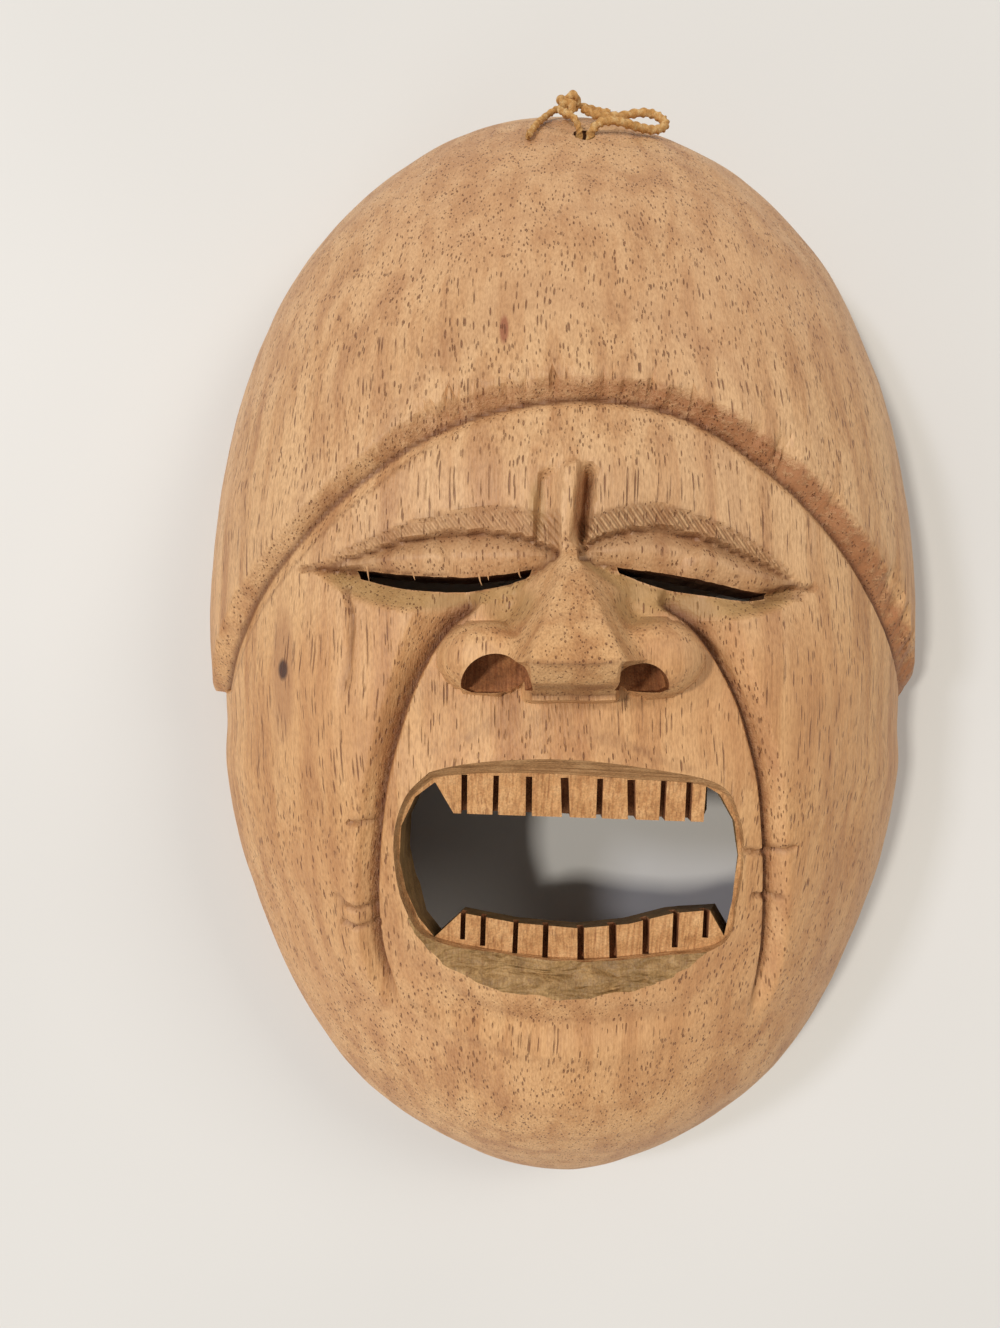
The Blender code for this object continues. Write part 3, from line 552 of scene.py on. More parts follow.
def marks(x, y):
    """How strongly each kind of mark shows at a place: torn fibres, painted shade in the creases with the
    growth rings, hatch and scoop. The torn mark also lays painted shade on the frown and the folds.
    """
    arch = arch_distance(x, y)
    on_cap = y > cap_foot(x)
    rough = 0.3 + 0.35 * ramp(x, -34, -20) + 0.35 * ramp(x, -5, 30)
    torn = on_cap * ramp(arch, -0.5, 0.2) * fade(arch, 1.7, 4.1) * rough
    # Painted shade: a dark line along the groove's floor under the cap's cut. On the left a fainter dark
    # line runs along the edge of the groove's brow side.
    crease_shade_and_rings = on_cap * stripe(arch, 0.2, 0.7)
    crease_shade_and_rings += 0.4 * on_cap * stripe(arch + brow_side_width(x), 0.1, 0.5) * ramp(-x, 8, 30)
    hatch = np.zeros(x.shape)
    scoop = np.zeros(x.shape)
    for eye in EYES:
        (brow, lid, edge, floor, low), inside = eye_lines(eye, x)
        hatch += inside * ramp(brow - y, 0.0, 0.6) * ramp(y - lid, 0.1, 0.7) * (0.65 + 0.35 * ramp(x, 0, 3))
        deep, thick = ramp(brow - lid, 0.3, 1.5), ramp(lid - edge, 0.5, 2)
        # Painted shade: dark lines where the lid tucks under the brow band, at the brow band's top step and
        # along the lid's tucked-in edge over the slit, then shade painted down from the lid's top. The even
        # 0.12 over the whole lid is its darker end grain.
        crease_shade_and_rings += inside * 0.8 * stripe(y - lid + 0.1, 0.1, 0.5) * deep
        crease_shade_and_rings += inside * 0.4 * stripe(y - brow, 0.05, 0.45) * deep
        crease_shade_and_rings += inside * 0.7 * stripe(y - edge, 0.15, 0.7) * (y >= floor)
        shade = (0.36 + 0.12 * ramp(x, 0, 3)) * fade(lid - y, 0.4, 4.5) * (y < lid)
        crease_shade_and_rings += inside * (y > edge) * (shade + 0.12 * (y < lid)) * thick
        scoop += inside * (y < floor) * ramp(y - low, -0.4, 1.2) * ramp(floor - low, 0.5, 2.0)
    # Painted shade along each fold's deep floor. The torn colour over the fold and its slanted cheek side is
    # partly torn fibres and partly painted shade on that slope.
    for points in FOLDS:
        d, _, share = along(points, x, y)
        live = fade(share, 0.84, 0.99) * ramp(share, 0.02, 0.08)
        crease_shade_and_rings += fade(d, 0.15, 0.8 + 1.5 * ramp(share, 0.3, 0.12)) * live
        torn += 0.75 * fade(d, 0.5, 3.6 - 2.0 * ramp(share, 0.1, 0.3)) * live
    # Painted shade in the nicks and cracks, darkest where they are cut deepest, then a dark line along the
    # nose's tip
    crease_shade_and_rings += 0.9 * held(-nick_relief(x, y))
    crease_shade_and_rings += 0.45 * stripe(y + 3.9, 0.1, 0.5) * (abs(x - 0.3) < 6.6)
    # The growth rings' own broken dark dots
    broken = 0.10 + 0.22 * ramp(uneven(x, y, x * 0, 1.3, 8), -0.1, 0.4)
    crease_shade_and_rings += sum(broken * fade(along(ring, x, y)[0], 0.2, 0.9) for ring in RINGS)
    # Painted shade: dark lines along the floors of the two frown folds, and the torn colour laid over the
    # right fold's gentle slope as its painted shade
    frown = ramp(y, 14, 17) * fade(y, 24, 27)
    lean = x - 0.10 * (y - 20)
    crease_shade_and_rings += 0.5 * frown * stripe(lean - 2.7, 0.3, 1.2)
    crease_shade_and_rings += 0.4 * frown * stripe(lean + 4.8, 0.1, 0.6)
    torn += 0.8 * frown * stripe(lean - 2.3, 0.6, 2.2)
    for tint_x, tint_y, wide, high, _ in TINTS:
        scoop += 0.8 * fade(np.hypot((x - tint_x) / wide, (y - tint_y) / high), 0.5, 1.1)
    return {name: held(value) for name, value in zip(MARKS, (torn, crease_shade_and_rings, hatch, scoop))}


def at(x, y, z):
    """A point of the carving in metres, in the frame."""
    return Vector((np.array([x, y, z]) + MIDDLE) * UNIT)


def linear(colour):
    """sRGB hex to linear RGBA."""
    parts = [int(colour[i : i + 2], 16) / 255 for i in (0, 2, 4)]
    return (*[c / 12.92 if c <= 0.04045 else ((c + 0.055) / 1.055) ** 2.4 for c in parts], 1.0)


def add(kind, links, **settings):
    """Adds a kind of shader node where its links lead. They give each input a socket or a value."""
    tree = next(v.id_data for v in links.values() if isinstance(v, bpy.types.NodeSocket))
    made = tree.nodes.new("ShaderNode" + kind)
    for name, value in settings.items():
        setattr(made, name, value)
    for name, value in links.items():
        if isinstance(value, bpy.types.NodeSocket):
            tree.links.new(value, made.inputs[name])
        else:
            made.inputs[name].default_value = value
    return made


def new_material(name, roughness, specular=0.5):
    """A material with its shader and its Object coordinates in mm."""
    made = bpy.data.materials.new(name)
    made.use_nodes = True
    shader = made.node_tree.nodes["Principled BSDF"]
    shader.inputs["Roughness"].default_value = roughness
    shader.inputs["Specular IOR Level"].default_value = specular
    place = made.node_tree.nodes.new("ShaderNodeTexCoord").outputs["Object"]
    mm = add("VectorMath", {0: place, "Scale": 1 / MM}, operation="SCALE").outputs[0]
    return made, shader, mm


def ramped(value, stops):
    """A colour ramp over a value, stops as (place, hex)."""
    made = add("ValToRGB", {"Fac": value})
    elements = made.color_ramp.elements
    for place, _ in stops[1:-1]:
        elements.new(place)
    for element, (place, colour) in zip(elements, stops):
        element.position, element.color = place, linear(colour)
    return made.outputs["Color"]


def spread(value, low, high, start=0.0, end=1.0):
    """A value between low and high brought to the range from start to end."""
    links = {"Value": value, "From Min": low, "From Max": high, "To Min": start, "To Max": end}
    return add("MapRange", links).outputs[0]


def reckoned(operation, a, b):
    """The result of a sum, product or other operation on two values."""
    return add("Math", {0: a, 1: b}, operation=operation).outputs[0]


def times(a, b):
    """Product of two values."""
    return reckoned("MULTIPLY", a, b)


def plus(a, b):
    """Sum of two values."""
    return reckoned("ADD", a, b)


def shifted(operation, a, b):
    """The result of an operation on two sets of coordinates."""
    return add("VectorMath", {0: a, 1: b}, operation=operation).outputs[0]


def scaled(mm, scale, turn=0.0):
    """Coordinates scaled along each axis and turned about Z by an angle in radians."""
    links = {"Vector": mm, "Scale": scale, "Rotation": (0, 0, turn)}
    return add("Mapping", links).outputs[0]


def cloud(mm, scale, detail=2.0, **more):
    """Soft random values between 0 and 1."""
    links = {"Vector": mm, "Scale": scale, "Detail": detail, **more}
    return add("TexNoise", links).outputs["Fac"]


def surfaced(shader, colour, height=None, strength=0.8):
    """Gives the shader its colour, and its bumps from a height in mm."""
    links = shader.id_data.links
    links.new(colour, shader.inputs["Base Color"])
    if height:
        bump = add("Bump", {"Height": height, "Strength": strength, "Distance": MM})
        links.new(bump.outputs[0], shader.inputs["Normal"])


def wood_grain(mm):
    """The grain of every cut surface: pores, streaks, fibres and growth layers.

    The pores are tubes along Y, long lines on flat faces and short dashes where a face cuts across them. The
    growth layers lie flat in the block, so they show as contour lines on round forms.
    """
    wander = add("TexNoise", {"Vector": mm, "Scale": 0.045, "Detail": 1.0}).outputs["Color"]
    lean = shifted("MULTIPLY", shifted("SUBTRACT", wander, (0.5, 0.5, 0.5)), (3.0, 0.0, 5.0))
    wavy = shifted("ADD", mm, lean)
    pores = 0.0
    for scale, stretch, wide in ((1.15, 0.032, 0.20), (1.40, 0.060, 0.20), (1.75, 0.13, 0.18)):
        tubes = {"Vector": scaled(wavy, (scale, stretch, scale)), "Scale": 1.0, "Randomness": 1.0}
        cells = add("TexVoronoi", tubes).outputs["Distance"]
        pores = reckoned("MAXIMUM", pores, spread(cells, 0.11, wide, 1.0, 0.0))
    pores = times(pores, spread(cloud(mm, 0.30), 0.36, 0.56, 0.45, 1.0))
    streaks = cloud(scaled(wavy, (0.24, 0.018, 0.24)), 1.0, 3.0, Distortion=0.3)
    fibres = cloud(scaled(wavy, (2.6, 0.10, 2.6)), 1.0, 3.0)
    wave = {"Vector": wavy, "Scale": 0.062, "Distortion": 2.2, "Detail": 2.0, "Detail Scale": 0.25}
    layers = add("TexWave", wave, bands_direction="Z").outputs["Fac"]
    return pores, streaks, fibres, layers


def mixed(share, low, high, blend="MIX"):
    """One colour over another by a share; the upper one may be sRGB hex."""
    high = linear(high) if isinstance(high, str) else high
    made = add("Mix", {0: share, 6: low, 7: high}, data_type="RGBA", blend_type=blend)
    return made.outputs[2]


def blot(mm, middle, size, edge=0.25):
    """1 within an ellipsoid of the given half sizes in mm, with a soft edge."""
    near = shifted("DIVIDE", shifted("SUBTRACT", mm, middle), size)
    far = add("VectorMath", {0: near}, operation="LENGTH").outputs["Value"]
    return spread(far, 1 - edge, 1 + edge, 1.0, 0.0)


def bare_wood():
    """Light tropical wood, knife-cut and lightly sanded, unfinished: matt, with open reddish pores."""
    made, shader, mm = new_material("bare_light_wood", 0.54, 0.42)
    pores, streaks, fibres, layers = wood_grain(mm)
    colour = ramped(streaks, [(0.36, "B07E52"), (0.47, "CB9D6D"), (0.58, "DDB484")])
    colour = mixed(0.42, colour, ramped(fibres, [(0.3, "BB8B5C"), (0.7, "D9AE7F")]))
    speck = cloud(scaled(mm, (3.4, 0.9, 3.4)), 1.0)
    colour = mixed(0.5, colour, ramped(speck, [(0.36, "C9C0B8"), (0.58, "FFFFFF")]), "MULTIPLY")
    colour = mixed(times(spread(layers, 0.78, 1.0), 0.2), colour, "96633F")
    warm = cloud(mm, 0.022)
    colour = mixed(spread(warm, 0.42, 0.62, 0.0, 0.35), colour, "C4966E")
    up = add("SeparateXYZ", {"Vector": mm}).outputs["Y"]
    colour = mixed(spread(up, 16.0, -4.0), colour, "FFF8EC", "MULTIPLY")
    masks = {}
    for name in MARKS:
        mark = made.node_tree.nodes.new("ShaderNodeAttribute")
        mark.attribute_name = name
        masks[name] = mark.outputs["Fac"]
    colour = mixed(times(masks["scoop"], 0.55), colour, "A0824F")
    rag = cloud(mm, 0.9, 4.0, Roughness=0.7)
    # Reddish torn fibres along the cap's cut; on the folds and the frown the same colour is partly painted
    # shade
    torn = spread(times(masks["torn"], rag), 0.16, 0.5, 0.0, 0.8)
    colour = mixed(torn, colour, "A0663E")
    # Dark brown painted shade along the cut lines, grooves, nicks and cracks, with the growth rings' dots
    colour = mixed(times(masks["crease_shade_and_rings"], 0.76), colour, "64391F")
    for middle, size, tone, share in BLEMISHES:
        colour = mixed(times(blot(mm, middle, size), share), colour, tone)
    colour = mixed(times(pores, 0.72), colour, "723D22")
    turned = scaled(mm, (1.0, 1.0, 1.0), HATCH_TURN)
    wave = {"Vector": turned, "Scale": 0.34, "Distortion": 0.9, "Detail": 2.0, "Detail Scale": 0.8}
    strokes = add("TexWave", wave, bands_direction="X").outputs["Fac"]
    strokes = times(strokes, masks["hatch"])
    cut = times(spread(strokes, 0.3, 0.9, 1.0, 0.0), masks["hatch"])
    colour = mixed(times(cut, 0.5), colour, "8A5A38")
    height = times(fibres, 0.16)
    for value, tall in ((pores, -0.26), (strokes, 0.45), (torn, -0.35), (rag, 0.06)):
        height = plus(height, times(value, tall))
    surfaced(shader, colour, height, 0.9)
    return made


def cut_wood(name, tones, pore_share, roughness, torn, stroke=None, scallops=0.0):
    """A face that a blade left across the grain, its ends of fibres darker than the sanded face. In the
    slits, the twine's hole and the nostrils the darker tones are partly painted shade.
    """
    made, shader, mm = new_material(name, roughness, 0.3)
    pores, _, fibres, _ = wood_grain(mm)
    patch = cloud(mm, 0.28, 4.0, Roughness=0.65)
    colour = ramped(patch, list(zip((0.3, 0.5, 0.7), tones)))
    speck = ramped(cloud(mm, 3.2), [(0.35, "8A8A8A"), (0.65, "FFFFFF")])
    colour = mixed(0.35, colour, speck, "MULTIPLY")
    upright = ramped(fibres, [(0.38, "B58F70"), (0.56, "FFFFFF")])
    colour = mixed(0.2 if stroke else 0.42, colour, upright, "MULTIPLY")
    colour = mixed(times(pores, pore_share), colour, "6E4028")
    height = plus(times(patch, torn * 4), times(fibres, torn))
    if stroke:
        scale, tall = stroke
        blade = cloud(scaled(mm, scale, STROKE_TURN), 1.0, Distortion=0.5)
        height = plus(height, times(blade, tall))
    if scallops:
        gouge = {"Vector": scaled(mm, (0.16, 0.045, 0.16)), "Scale": 1.0}
        cells = add("TexVoronoi", gouge, feature="SMOOTH_F1").outputs["Distance"]
        height = plus(height, times(cells, scallops))
    surfaced(shader, colour, height)
    return made


def natural_twine():
    """Two-ply plant fibre twine: matt, tan to golden, hairy, the fibres showing along each ply."""
    made, shader, mm = new_material("natural_twine", 0.8, 0.3)
    tone = cloud(mm, 1.1, 3.0)
    colour = ramped(tone, [(0.3, "BC8546"), (0.5, "D4A160"), (0.7, "E9C388")])
    hair = cloud(mm, 7.0, 3.0)
    dark = ramped(hair, [(0.35, "8F8F8F"), (0.6, "FFFFFF")])
    surfaced(shader, mixed(0.4, colour, dark, "MULTIPLY"), times(hair, 0.25))
    return made


def table_top():
    """Plain pale matt table."""
    made, shader, mm = new_material("pale_table", 0.55, 0.3)
    colour = ramped(cloud(mm, 0.006), [(0.35, "D5D4D0"), (0.65, "DAD9D5")])
    surfaced(shader, colour)
    return made


def capped(bm):
    """Closes the mesh's open ends."""
    bmesh.ops.holes_fill(bm, edges=[e for e in bm.edges if e.is_boundary])


def sliced(bm, z, **settings):
    """Cuts the mesh level at a height in metres."""
    everything = [*bm.verts, *bm.edges, *bm.faces]
    bmesh.ops.bisect_plane(bm, geom=everything, plane_co=(0, 0, z), plane_no=(0, 0, 1), **settings)


def points_of(made):
    """The points among what an operator made."""
    return [g for g in made["geom"] if isinstance(g, bmesh.types.BMVert)]


def finished(bm, name, materials):
    """A mesh object at the origin with its materials."""
    mesh = bpy.data.meshes.new(name)
    bm.to_mesh(mesh)
    bm.free()
    for m in materials:
        mesh.materials.append(m)
    obj = bpy.data.objects.new(name, mesh)
    bpy.context.scene.collection.objects.link(obj)
    return obj


def solid(bm, name, materials):
    """A closed mesh object, its faces turned outward."""
    bmesh.ops.recalc_face_normals(bm, faces=bm.faces)
    return finished(bm, name, materials)


def carved_front():
    """The front as a closed block, flat behind, with finer faces where the carving is fine."""
    bm = bmesh.new()
    bmesh.ops.create_grid(bm, x_segments=COLUMNS, y_segments=ROWS, size=1)
    for level in ((1, 2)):
        middles = np.array([f.calc_center_median()[:2] for f in bm.faces]).T
        x, y, _ = egg_point(*middles)
        wanted = detail_level(x, y) >= level
        edges = {e for f, fine in zip(bm.faces, wanted) if fine for e in f.edges}
        bmesh.ops.subdivide_edges(bm, edges=list(edges), cuts=1, use_grid_fill=True)
    x, y, z = egg_point(*np.array([v.co[:2] for v in bm.verts]).T)
    for v, p in zip(bm.verts, carved_point(x, y, z).T):
        v.co = at(*p)
    for name, values in marks(x, y).items():
        layer = bm.verts.layers.float.new(name)
        for v, value in zip(bm.verts, values):
            v[layer] = value
    rim = [e for e in bm.edges if e.is_boundary]
    for v in points_of(bmesh.ops.extrude_edge_only(bm, edges=rim)):
        v.co.z = -SKIRT
    capped(bm)
    bmesh.ops.triangulate(bm, faces=bm.faces)
    sliced(bm, 0, clear_inner=True)
    capped(bm)
    return solid(bm, "carved_mask", [bare_wood()])


def cutter(bm, name, *woods):
    """A solid for one cut, whose kinds of wood the cut faces take."""
    return solid(bm, name, [cut_wood(wood, *CUT_FACES[wood]) for wood in woods])


def hollow_cutter():
    """The bowl carved into the back, a wall's width inside the egg."""
    bm = bmesh.new()
    bmesh.ops.create_uvsphere(bm, u_segments=96, v_segments=56, radius=1)
    n = EGG_FULLNESS
    size = (WIDTH / 2 - WALL, LENGTH / 2 - WALL, HOLLOW_HEIGHT)
    for v in bm.verts:
        d = v.co.normalized()
        fit = sum(abs(c) ** n for c in d) ** (-1 / n)
        v.co = Vector(d[i] * fit * size[i] for i in range(3))
        v.co *= 1 - 0.006 * (1 + noise.noise(v.co * 90))
    return cutter(bm, "hollow_cut", "gouged_hollow")


def raised(bm, ring):
    """Fills a ring of points and starts a solid on it, whose upper points come back."""
    return points_of(bmesh.ops.extrude_face_region(bm, geom=[bm.faces.new(ring)]))


def prism(outline):
    """Closed upright solid over an outline of the carving."""
    bm = bmesh.new()
    for v in raised(bm, [bm.verts.new(at(x, y, CUT_LOW)) for x, y in outline]):
        v.co.z = CUT_HIGH * UNIT[2]
    return bm


def slit_cutter(eye, name):
    """The gap between lid and scoop, right through, its lower edge torn."""
    start, end = eye["slit"]
    xs = np.linspace(start, end, 60)
    upper = height_of(eye["lid_edge"], xs) + 0.12 * uneven(xs, xs * 0, xs * 0, 1.3, 4)
    lower = height_of(eye["slit_floor"], xs) - 0.25 - 0.10 * abs(uneven(xs, xs * 0, xs * 0, 0.9, 5))
    lower = np.minimum(lower, upper - 0.15)
    outline = list(zip(xs[1:-1], lower[1:-1])) + list(zip(xs[::-1], upper[::-1]))
    # The slit's walls take dark tones, partly painted shade
    return cutter(prism(outline), name, "shaded_torn_slits")


def loop_through(points, count):
    """Points along a closed smooth curve."""
    closed = [*points, points[0], points[1]]
    return curve_points(closed, count + count // len(points) + 1)[:count]


def grown(outline, share, shift):
    """The outline made larger about the mouth's middle, and moved up the face."""
    middle = np.array([MOUTH_X, MOUTH_Y])
    return (outline - middle) * np.array(share) + middle + np.array([0, shift])


def lip_cutter():
    """Slanted sides from the lip's edge down to the front of the teeth."""
    inner = loop_through(MOUTH, 120)
    rings = ((grown(inner, (1.17, 1.40), 2.9), 64, 64), (inner, TEETH_Z[0], TEETH_Z[1]))
    bm = bmesh.new()
    for outline, top_z, foot_z in rings:
        high, low = outline[:, 1].max(), outline[:, 1].min()
        ring = []
        for x, y in outline:
            z = foot_z + (top_z - foot_z) * (y - low) / (high - low)
            ring.append(bm.verts.new(at(x, y, z)))
        for a, b in zip(ring, ring[1:] + ring[:1]):
            bm.edges.new((a, b))
    walls = bmesh.ops.bridge_loops(bm, edges=bm.edges[:])["faces"]
    capped(bm)
    for f in bm.faces:
        f.material_index = 0 if f in walls else 1
    return cutter(bm, "lip_cut", "knife_cut_lips", "chiselled_teeth")


def lower_lip_cutter():
    """The long hollow scoop of the lower lip, with the dents of the gouge."""
    bm = bmesh.new()
    middle = at(1.0, -48.6, 56.4)
    size = Matrix.Diagonal((52 * UNIT[0], 16 * UNIT[1], 13.0 * UNIT[2], 1))
    shape = Matrix.Translation(middle) @ size
    bmesh.ops.create_uvsphere(bm, u_segments=160, v_segments=90, radius=1, matrix=shape)
    for v in bm.verts:
        stroke = Vector((v.co.x * 150 - v.co.y * 90, v.co.y * 520 + v.co.x * 130, v.co.z * 300))
        dent = 0.5 - abs(noise.noise(stroke * 0.8)) * 2 + 0.4 * noise.noise(stroke * 2.3)
        v.co += (v.co - middle).normalized() * dent * 0.8 * MM
    return cutter(bm, "lower_lip_cut", "gouged_lower_lip")


def bite_cutter():
    """What shows through between the two rows of teeth, wider behind on the right and at the chin."""
    bm = prism(BITE)
    sliced(bm, BITE_STRAIGHT * UNIT[2])
    for v in (v for v in bm.verts if v.co.z < BITE_STRAIGHT / 2 * MM):
        v.co.x += 6 * MM * (v.co.x > 20 * MM)
        v.co.y -= 4 * MM * (v.co.y < -42 * MM)
    return cutter(bm, "bite_cut", "sawn_tooth_ends")


def kerf_cutter():
    """Saw cuts between the teeth, deeper at the tips."""
    bm = bmesh.new()
    for root, tip, z, places in KERF_ROWS:
        for x in places:
            drop = 0.03 * (x + 16) if tip < root else -0.009 * (x - 2) ** 2 + 1.4
            hand = noise.noise(Vector((x, root, 0)) * 0.37)
            size = Matrix.Diagonal((KERF * (1 + 0.5 * hand), abs(tip - root) * UNIT[1], 5.4 * UNIT[2], 1))
            middle = Matrix.Translation(at(x, (root + tip) / 2 - drop, z))
            turn = Matrix.Rotation(0.10 * hand, 4, "Z")
            tilt = Matrix.Rotation(KERF_LEAN if tip < root else -KERF_LEAN, 4, "X")
            bmesh.ops.create_cube(bm, size=1, matrix=middle @ turn @ tilt @ size)
    return cutter(bm, "kerf_cut", "saw_cuts")


def nostril_cutter():
    """An arched hole under each wing of the nose, leaning up into it."""
    bm = bmesh.new()
    foot = [(-0.7, -0.14), (0.7, -0.14)]
    for x, wide, tall in NOSTRILS:
        arch = [(math.cos(math.pi * k / 24), math.sin(math.pi * k / 24)) for k in range(25)]
        ring = [bm.verts.new(at(x + wide * c, NOSTRIL_Y + tall * s, 53.5)) for c, s in arch + foot]
        for v in raised(bm, ring):
            v.co += Vector(np.array([0, -1.6, 22]) * UNIT)
    # The nostrils' walls take darker tones, partly painted shade
    return cutter(bm, "nostril_cut", "shaded_pared_nostrils")


def hole_cutter():
    """The drilled hole for the twine, from the crown into the hollow."""
    long = WALL * 3
    turn = HOLE_WAY.to_track_quat("Z", "Y").to_matrix().to_4x4()
    place = Matrix.Translation(at(*HOLE_PLACE) + HOLE_WAY * (long / 2 - WALL))
    bm = bmesh.new()
    size = {"segments": 28, "radius1": CORD_HOLE / 2, "radius2": CORD_HOLE / 2, "depth": long}
    bmesh.ops.create_cone(bm, cap_ends=True, matrix=place @ turn, **size)
    # The hole's walls take dark tones, partly painted shade
    return cutter(bm, "hole_cut", "shaded_torn_slits")


def cut_away(obj, tools):
    """Takes the tools from the object for good, then removes them."""
    for tool in tools:
        cut = obj.modifiers.new(tool.name, "BOOLEAN")
        cut.operation = "DIFFERENCE"
        cut.solver = "MANIFOLD"
        cut.material_mode = "TRANSFER"
        cut.object = tool
    graph = bpy.context.evaluated_depsgraph_get()
    obj.data = bpy.data.meshes.new_from_object(obj.evaluated_get(graph))
    obj.modifiers.clear()
    for tool in tools:
        bpy.data.objects.remove(tool)


def sweep(bm, route, radius, around, turns=0.0):
    """A round or twisted strand along a route, its radius a number or a function of the share along it."""
    centres = np.array(route, float)
    ahead = np.gradient(centres, axis=0)
    ahead /= np.linalg.norm(ahead, axis=1)[:, None]
    side = np.cross(ahead[0], (0.3, 0.2, 0.9))
    sides = []
    for a in ahead:
        side = side - a * np.dot(side, a)
        side = side / np.linalg.norm(side)
        sides.append(side)
    sides = np.array(sides)
    ups = np.cross(ahead, sides)
    count = len(centres)
    made = bmesh.ops.create_grid(bm, x_segments=around, y_segments=count - 1, size=1)["verts"]
    for v in made:
        i = min(int(round((v.co.y + 1) / 2 * (count - 1))), count - 1)
        share = i / (count - 1)
        angle = (v.co.x + 1) * math.pi
        size = radius(share) if callable(radius) else radius
        if turns:
            size *= max(abs(math.cos(angle - turns * 2 * math.pi * share)), PLY_WAIST)
        v.co = Vector(centres[i] + size * (math.cos(angle) * sides[i] + math.sin(angle) * ups[i]))
    bmesh.ops.remove_doubles(bm, verts=made, dist=0.002 * MM)
    ends = [e for v in made if v.is_valid for e in v.link_edges if e.is_boundary]
    bmesh.ops.holes_fill(bm, edges=list(set(ends)))


def splinters(mesh):
    """Torn fibres that the knife left hanging in the left eye's slit."""
    bm = bmesh.new()
    bm.from_mesh(mesh)
    for x, lean, long in SPLINTERS:
        start = np.array([x, height_of(EYES[0]["lid_edge"], x) + 0.3, 52.0])
        steps = [start, start + (0.4 * lean, -0.6 * long, -0.3), start + (lean, -long, -0.2)]
        route = [at(*p) for p in curve_points(steps, 8)]
        sweep(bm, route, lambda s: SPLINTER * (1.1 - s), around=6)
    bm.to_mesh(mesh)
    bm.free()


def in_metres(points, count):
    """A smooth route through points in millimetres, in metres."""
    return curve_points(points, count) * MM


def length_of(route):
    """Length of a route in metres."""
    return float(np.linalg.norm(np.diff(route, axis=0), axis=1).sum())


def frayed(bm, end, direction, seed):
    """A brush of loose fibres at the end of a strand."""
    for k in range(9):
        shift = Vector((seed + 3.1 * k, 1.7 * k, -k))
        lean = Vector((noise.noise(shift), noise.noise(shift * 1.9), noise.noise(shift * 2.7)))
        tip = Vector(end) + (Vector(direction) + lean * 1.5).normalized() * FRAY * (0.7 + 0.3 * lean.x)
        middle = (Vector(end) + tip) / 2 + lean * FRAY * 0.3
        base = Vector(end) + lean * TWINE * 0.35
        sweep(bm, curve_points([base, middle, tip], 6), lambda s: FIBRE * (1.05 - s), around=5)


def knot_turns(middle, size):
    """An overhand knot pulled tight, as a closed route."""
    out = []
    for k in range(97):
        t = 2 * math.pi * k / 96
        x = math.sin(t) + 2 * math.sin(2 * t)
        y = math.cos(t) - 2 * math.cos(2 * t)
        z = -1.7 * math.sin(3 * t)
        out.append(Vector(middle) + Vector((x, y, z)) * size / 3)
    return out


def tied_knot(name, middle, size, tails):
    """A tight knot in the twine with its tails, their ends frayed."""
    bm = bmesh.new()
    sweep(bm, knot_turns(middle, (size - TWINE) / 2), KNOT_STRAND, around=16, turns=7)
    bmesh.ops.create_icosphere(bm, subdivisions=2, radius=size * 0.28, matrix=Matrix.Translation(middle))
    for seed, route in enumerate(tails):
        sweep(bm, route, TAIL_STRAND, around=16, turns=length_of(route) / TWIST)
        if seed < 2:
            frayed(bm, route[-1], route[-1] - route[-4], 5 * seed)
    return solid(bm, name, [natural_twine()])


class MaskSizes(bpy.types.PropertyGroup):
    """What a user would change on the carved mask."""

    bevel_angle: bpy.props.FloatProperty(
        name="Sharp edge",
        description="Edges that turn more than this stay crisp, as a knife leaves them",
        default=math.radians(34),
        subtype="ANGLE",
    )


def power(name, what, default):
    """The power of a light as a property."""
    return bpy.props.FloatProperty(name=name, description="Power of " + what, default=default, unit="POWER")


class TableSizes(bpy.types.PropertyGroup):
    """The table and the light."""

    table_size: bpy.props.FloatProperty(
        name="Table", description="Width of the table top", default=3.0, unit="LENGTH"
    )
    lamp: power("Lamp", "the small lamp above on the left", 55.0)
    left_light: power("Left light", "the window high on the left", 41.0)
    low_light: power("Low light", "the low soft light by the chin", 9.0)
    right_light: power("Right light", "the soft light on the right", 16.0)
    sky: bpy.props.FloatProperty(name="Room light", description="Even light of the room", default=0.41)


class MASK_OT_wood(bpy.types.Operator):
    """Carves the mask with all its cuts and finishes its wood"""

    bl_idname = "mask.wood"
    bl_label = "Carve the mask"

    def execute(self, context):
        obj = carved_front()
        slits = [slit_cutter(EYES[0], "left_slit_cut"), slit_cutter(EYES[1], "right_slit_cut")]
        mouth = [lower_lip_cutter(), lip_cutter(), bite_cutter(), kerf_cutter()]
        cut_away(obj, [hollow_cutter(), *slits, *mouth, nostril_cutter(), hole_cutter()])
        splinters(obj.data)
        obj.data.shade_smooth()
        obj.data.set_sharp_from_angle(angle=context.scene.mask_sizes.bevel_angle)
        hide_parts("mask")
        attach(obj, "root")
        return {"FINISHED"}


class MASK_OT_twine(bpy.types.Operator):
    """Lays the hanging loop, its knot with frayed tails and the stopper inside the hollow"""

    bl_idname = "mask.twine"
    bl_label = "Tie the hanging twine"

    def execute(self, context):
        route = in_metres(LOOP_ROUTE, 230)
        bm = bmesh.new()
        sweep(bm, route, LOOP_STRAND, around=18, turns=length_of(route) / TWIST)
        loop = solid(bm, "twine_loop", [natural_twine()])
        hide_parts("hanging_twine")
        tails = [in_metres(r, 14 * len(r)) for r in TAIL_ROUTES]
        knot = tied_knot("twine_knot_tied", Vector(KNOT_PLACE) * MM, KNOT, tails)
        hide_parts("twine_knot")
        stopper = tied_knot("twine_stopper_tied", Vector(STOPPER_PLACE) * MM, STOPPER, [])
        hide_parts("twine_stopper")
        for piece in (loop, knot, stopper):
            piece.data.shade_smooth()
            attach(piece, "root")
        return {"FINISHED"}


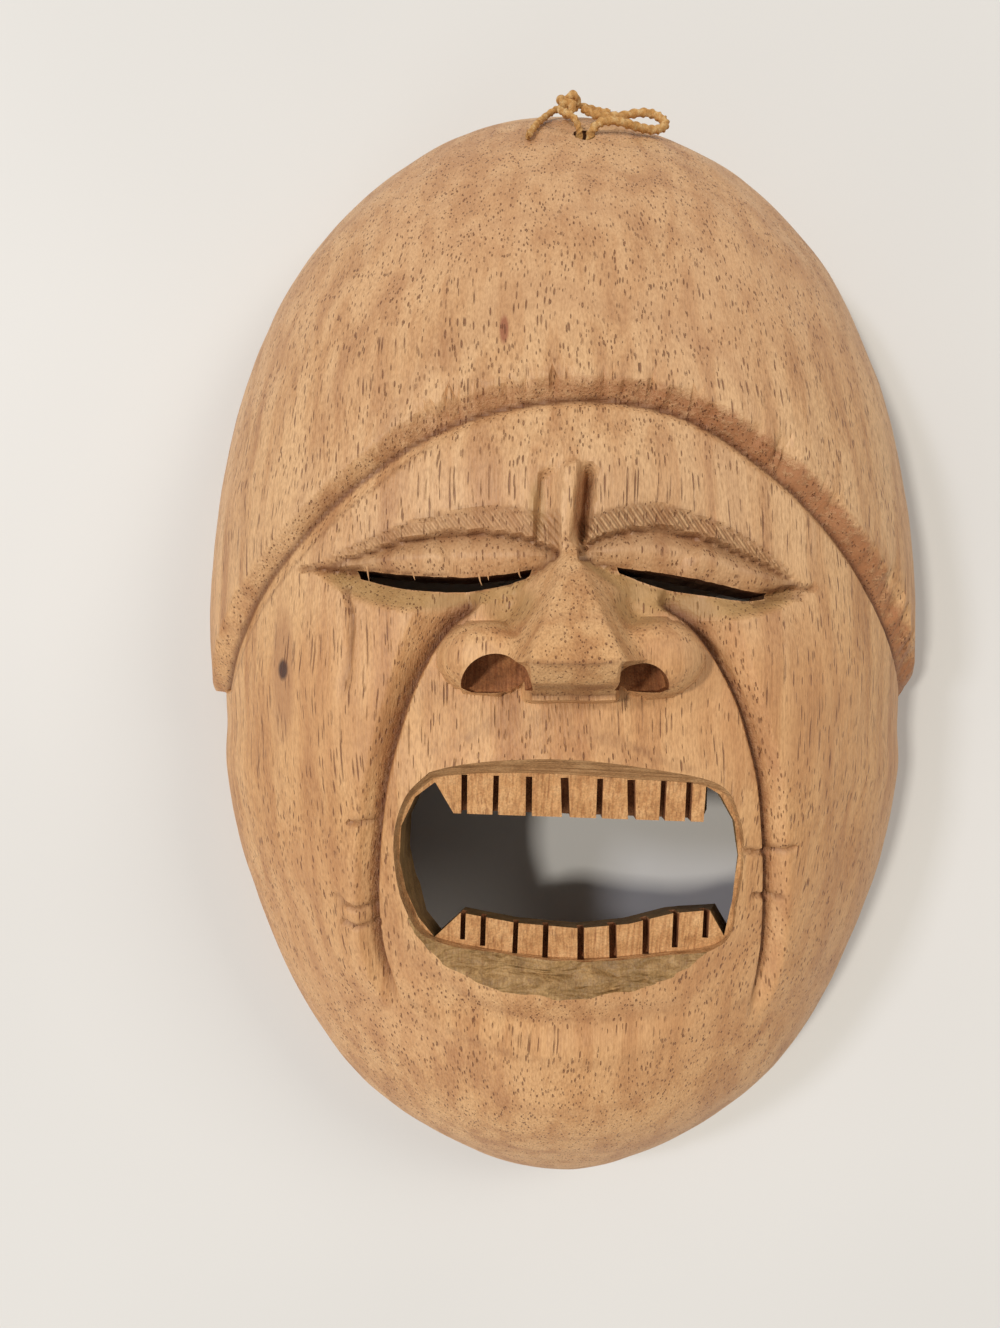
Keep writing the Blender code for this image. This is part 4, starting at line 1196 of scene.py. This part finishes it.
class MASK_OT_stage(bpy.types.Operator):
    """Sets the pale table, the soft light and the camera over the mask"""

    bl_idname = "mask.stage"
    bl_label = "Set the table, light and camera"

    def execute(self, context):
        sizes = context.scene.table_sizes
        bm = bmesh.new()
        place = Matrix.Translation((0, 0, -TABLE_GAP))
        bmesh.ops.create_grid(bm, x_segments=1, y_segments=1, size=sizes.table_size / 2, matrix=place)
        finished(bm, "table", [table_top()])
        self.light("left_lamp", (-1.5, 0.15, 3.15), 0.30, sizes.lamp, "FFF9F0")
        self.light("left_window", (-2.5, 0.96, 3.2), 0.50, sizes.left_light, "EEF0FF")
        self.light("low_window", (-1.2, -2.0, 0.75), 0.9, sizes.low_light, "FFFDFA")
        self.light("right_window", (1.5, 0.9, 1.6), 0.9, sizes.right_light, "FFF8F0")
        world = bpy.data.worlds.new("room")
        world.use_nodes = True
        background = world.node_tree.nodes["Background"]
        background.inputs["Color"].default_value = linear("F3F1EE")
        background.inputs["Strength"].default_value = sizes.sky
        context.scene.world = world
        context.scene.view_settings.view_transform = "Standard"
        lens = bpy.data.cameras.new("photographer")
        lens.sensor_width = 36
        lens.lens = CAMERA_LENS
        lens.clip_start = 0.005
        camera = bpy.data.objects.new("photographer", lens)
        camera.matrix_world = Matrix.Translation(CAMERA_PLACE) @ Matrix.Rotation(CAMERA_TURN, 4, "Y")
        context.scene.collection.objects.link(camera)
        context.scene.camera = camera
        return {"FINISHED"}

    def light(self, name, place, size, watts, colour):
        """A square soft light aimed at the mask."""
        lamp = bpy.data.lights.new(name, "AREA")
        lamp.size = size
        lamp.energy = watts
        lamp.color = linear(colour)[:3]
        obj = bpy.data.objects.new(name, lamp)
        aim = (Vector((0, 0, 0.03)) - Vector(place)).to_track_quat("-Z", "Y")
        obj.matrix_world = Matrix.Translation(place) @ aim.to_matrix().to_4x4()
        bpy.context.scene.collection.objects.link(obj)


class MASK_PT_sidebar(bpy.types.Panel):
    """Lists the mask's pieces and sizes"""

    bl_label = "Carved wood mask"
    bl_space_type = "VIEW_3D"
    bl_region_type = "UI"
    bl_category = "Mask"

    def draw(self, context):
        column = self.layout.column()
        column.prop(context.scene.mask_sizes, "bevel_angle")
        for name in ("table_size", "lamp", "left_light", "low_light", "right_light", "sky"):
            column.prop(context.scene.table_sizes, name)
        for operator in OPERATORS:
            column.operator(operator.bl_idname)


OPERATORS = (MASK_OT_stage, MASK_OT_twine, MASK_OT_wood)
CLASSES = (MaskSizes, TableSizes, *OPERATORS, MASK_PT_sidebar)


def register():
    for made in CLASSES:
        bpy.utils.register_class(made)
    bpy.types.Scene.mask_sizes = bpy.props.PointerProperty(type=MaskSizes)
    bpy.types.Scene.table_sizes = bpy.props.PointerProperty(type=TableSizes)


def unregister():
    del bpy.types.Scene.mask_sizes
    del bpy.types.Scene.table_sizes
    for made in reversed(CLASSES):
        bpy.utils.unregister_class(made)


def main():
    register()
    bpy.ops.mask.stage()
    bpy.ops.mask.twine()
    bpy.ops.mask.wood()
    bpy.context.view_layer.update()


if __name__ == "__main__":
    main()
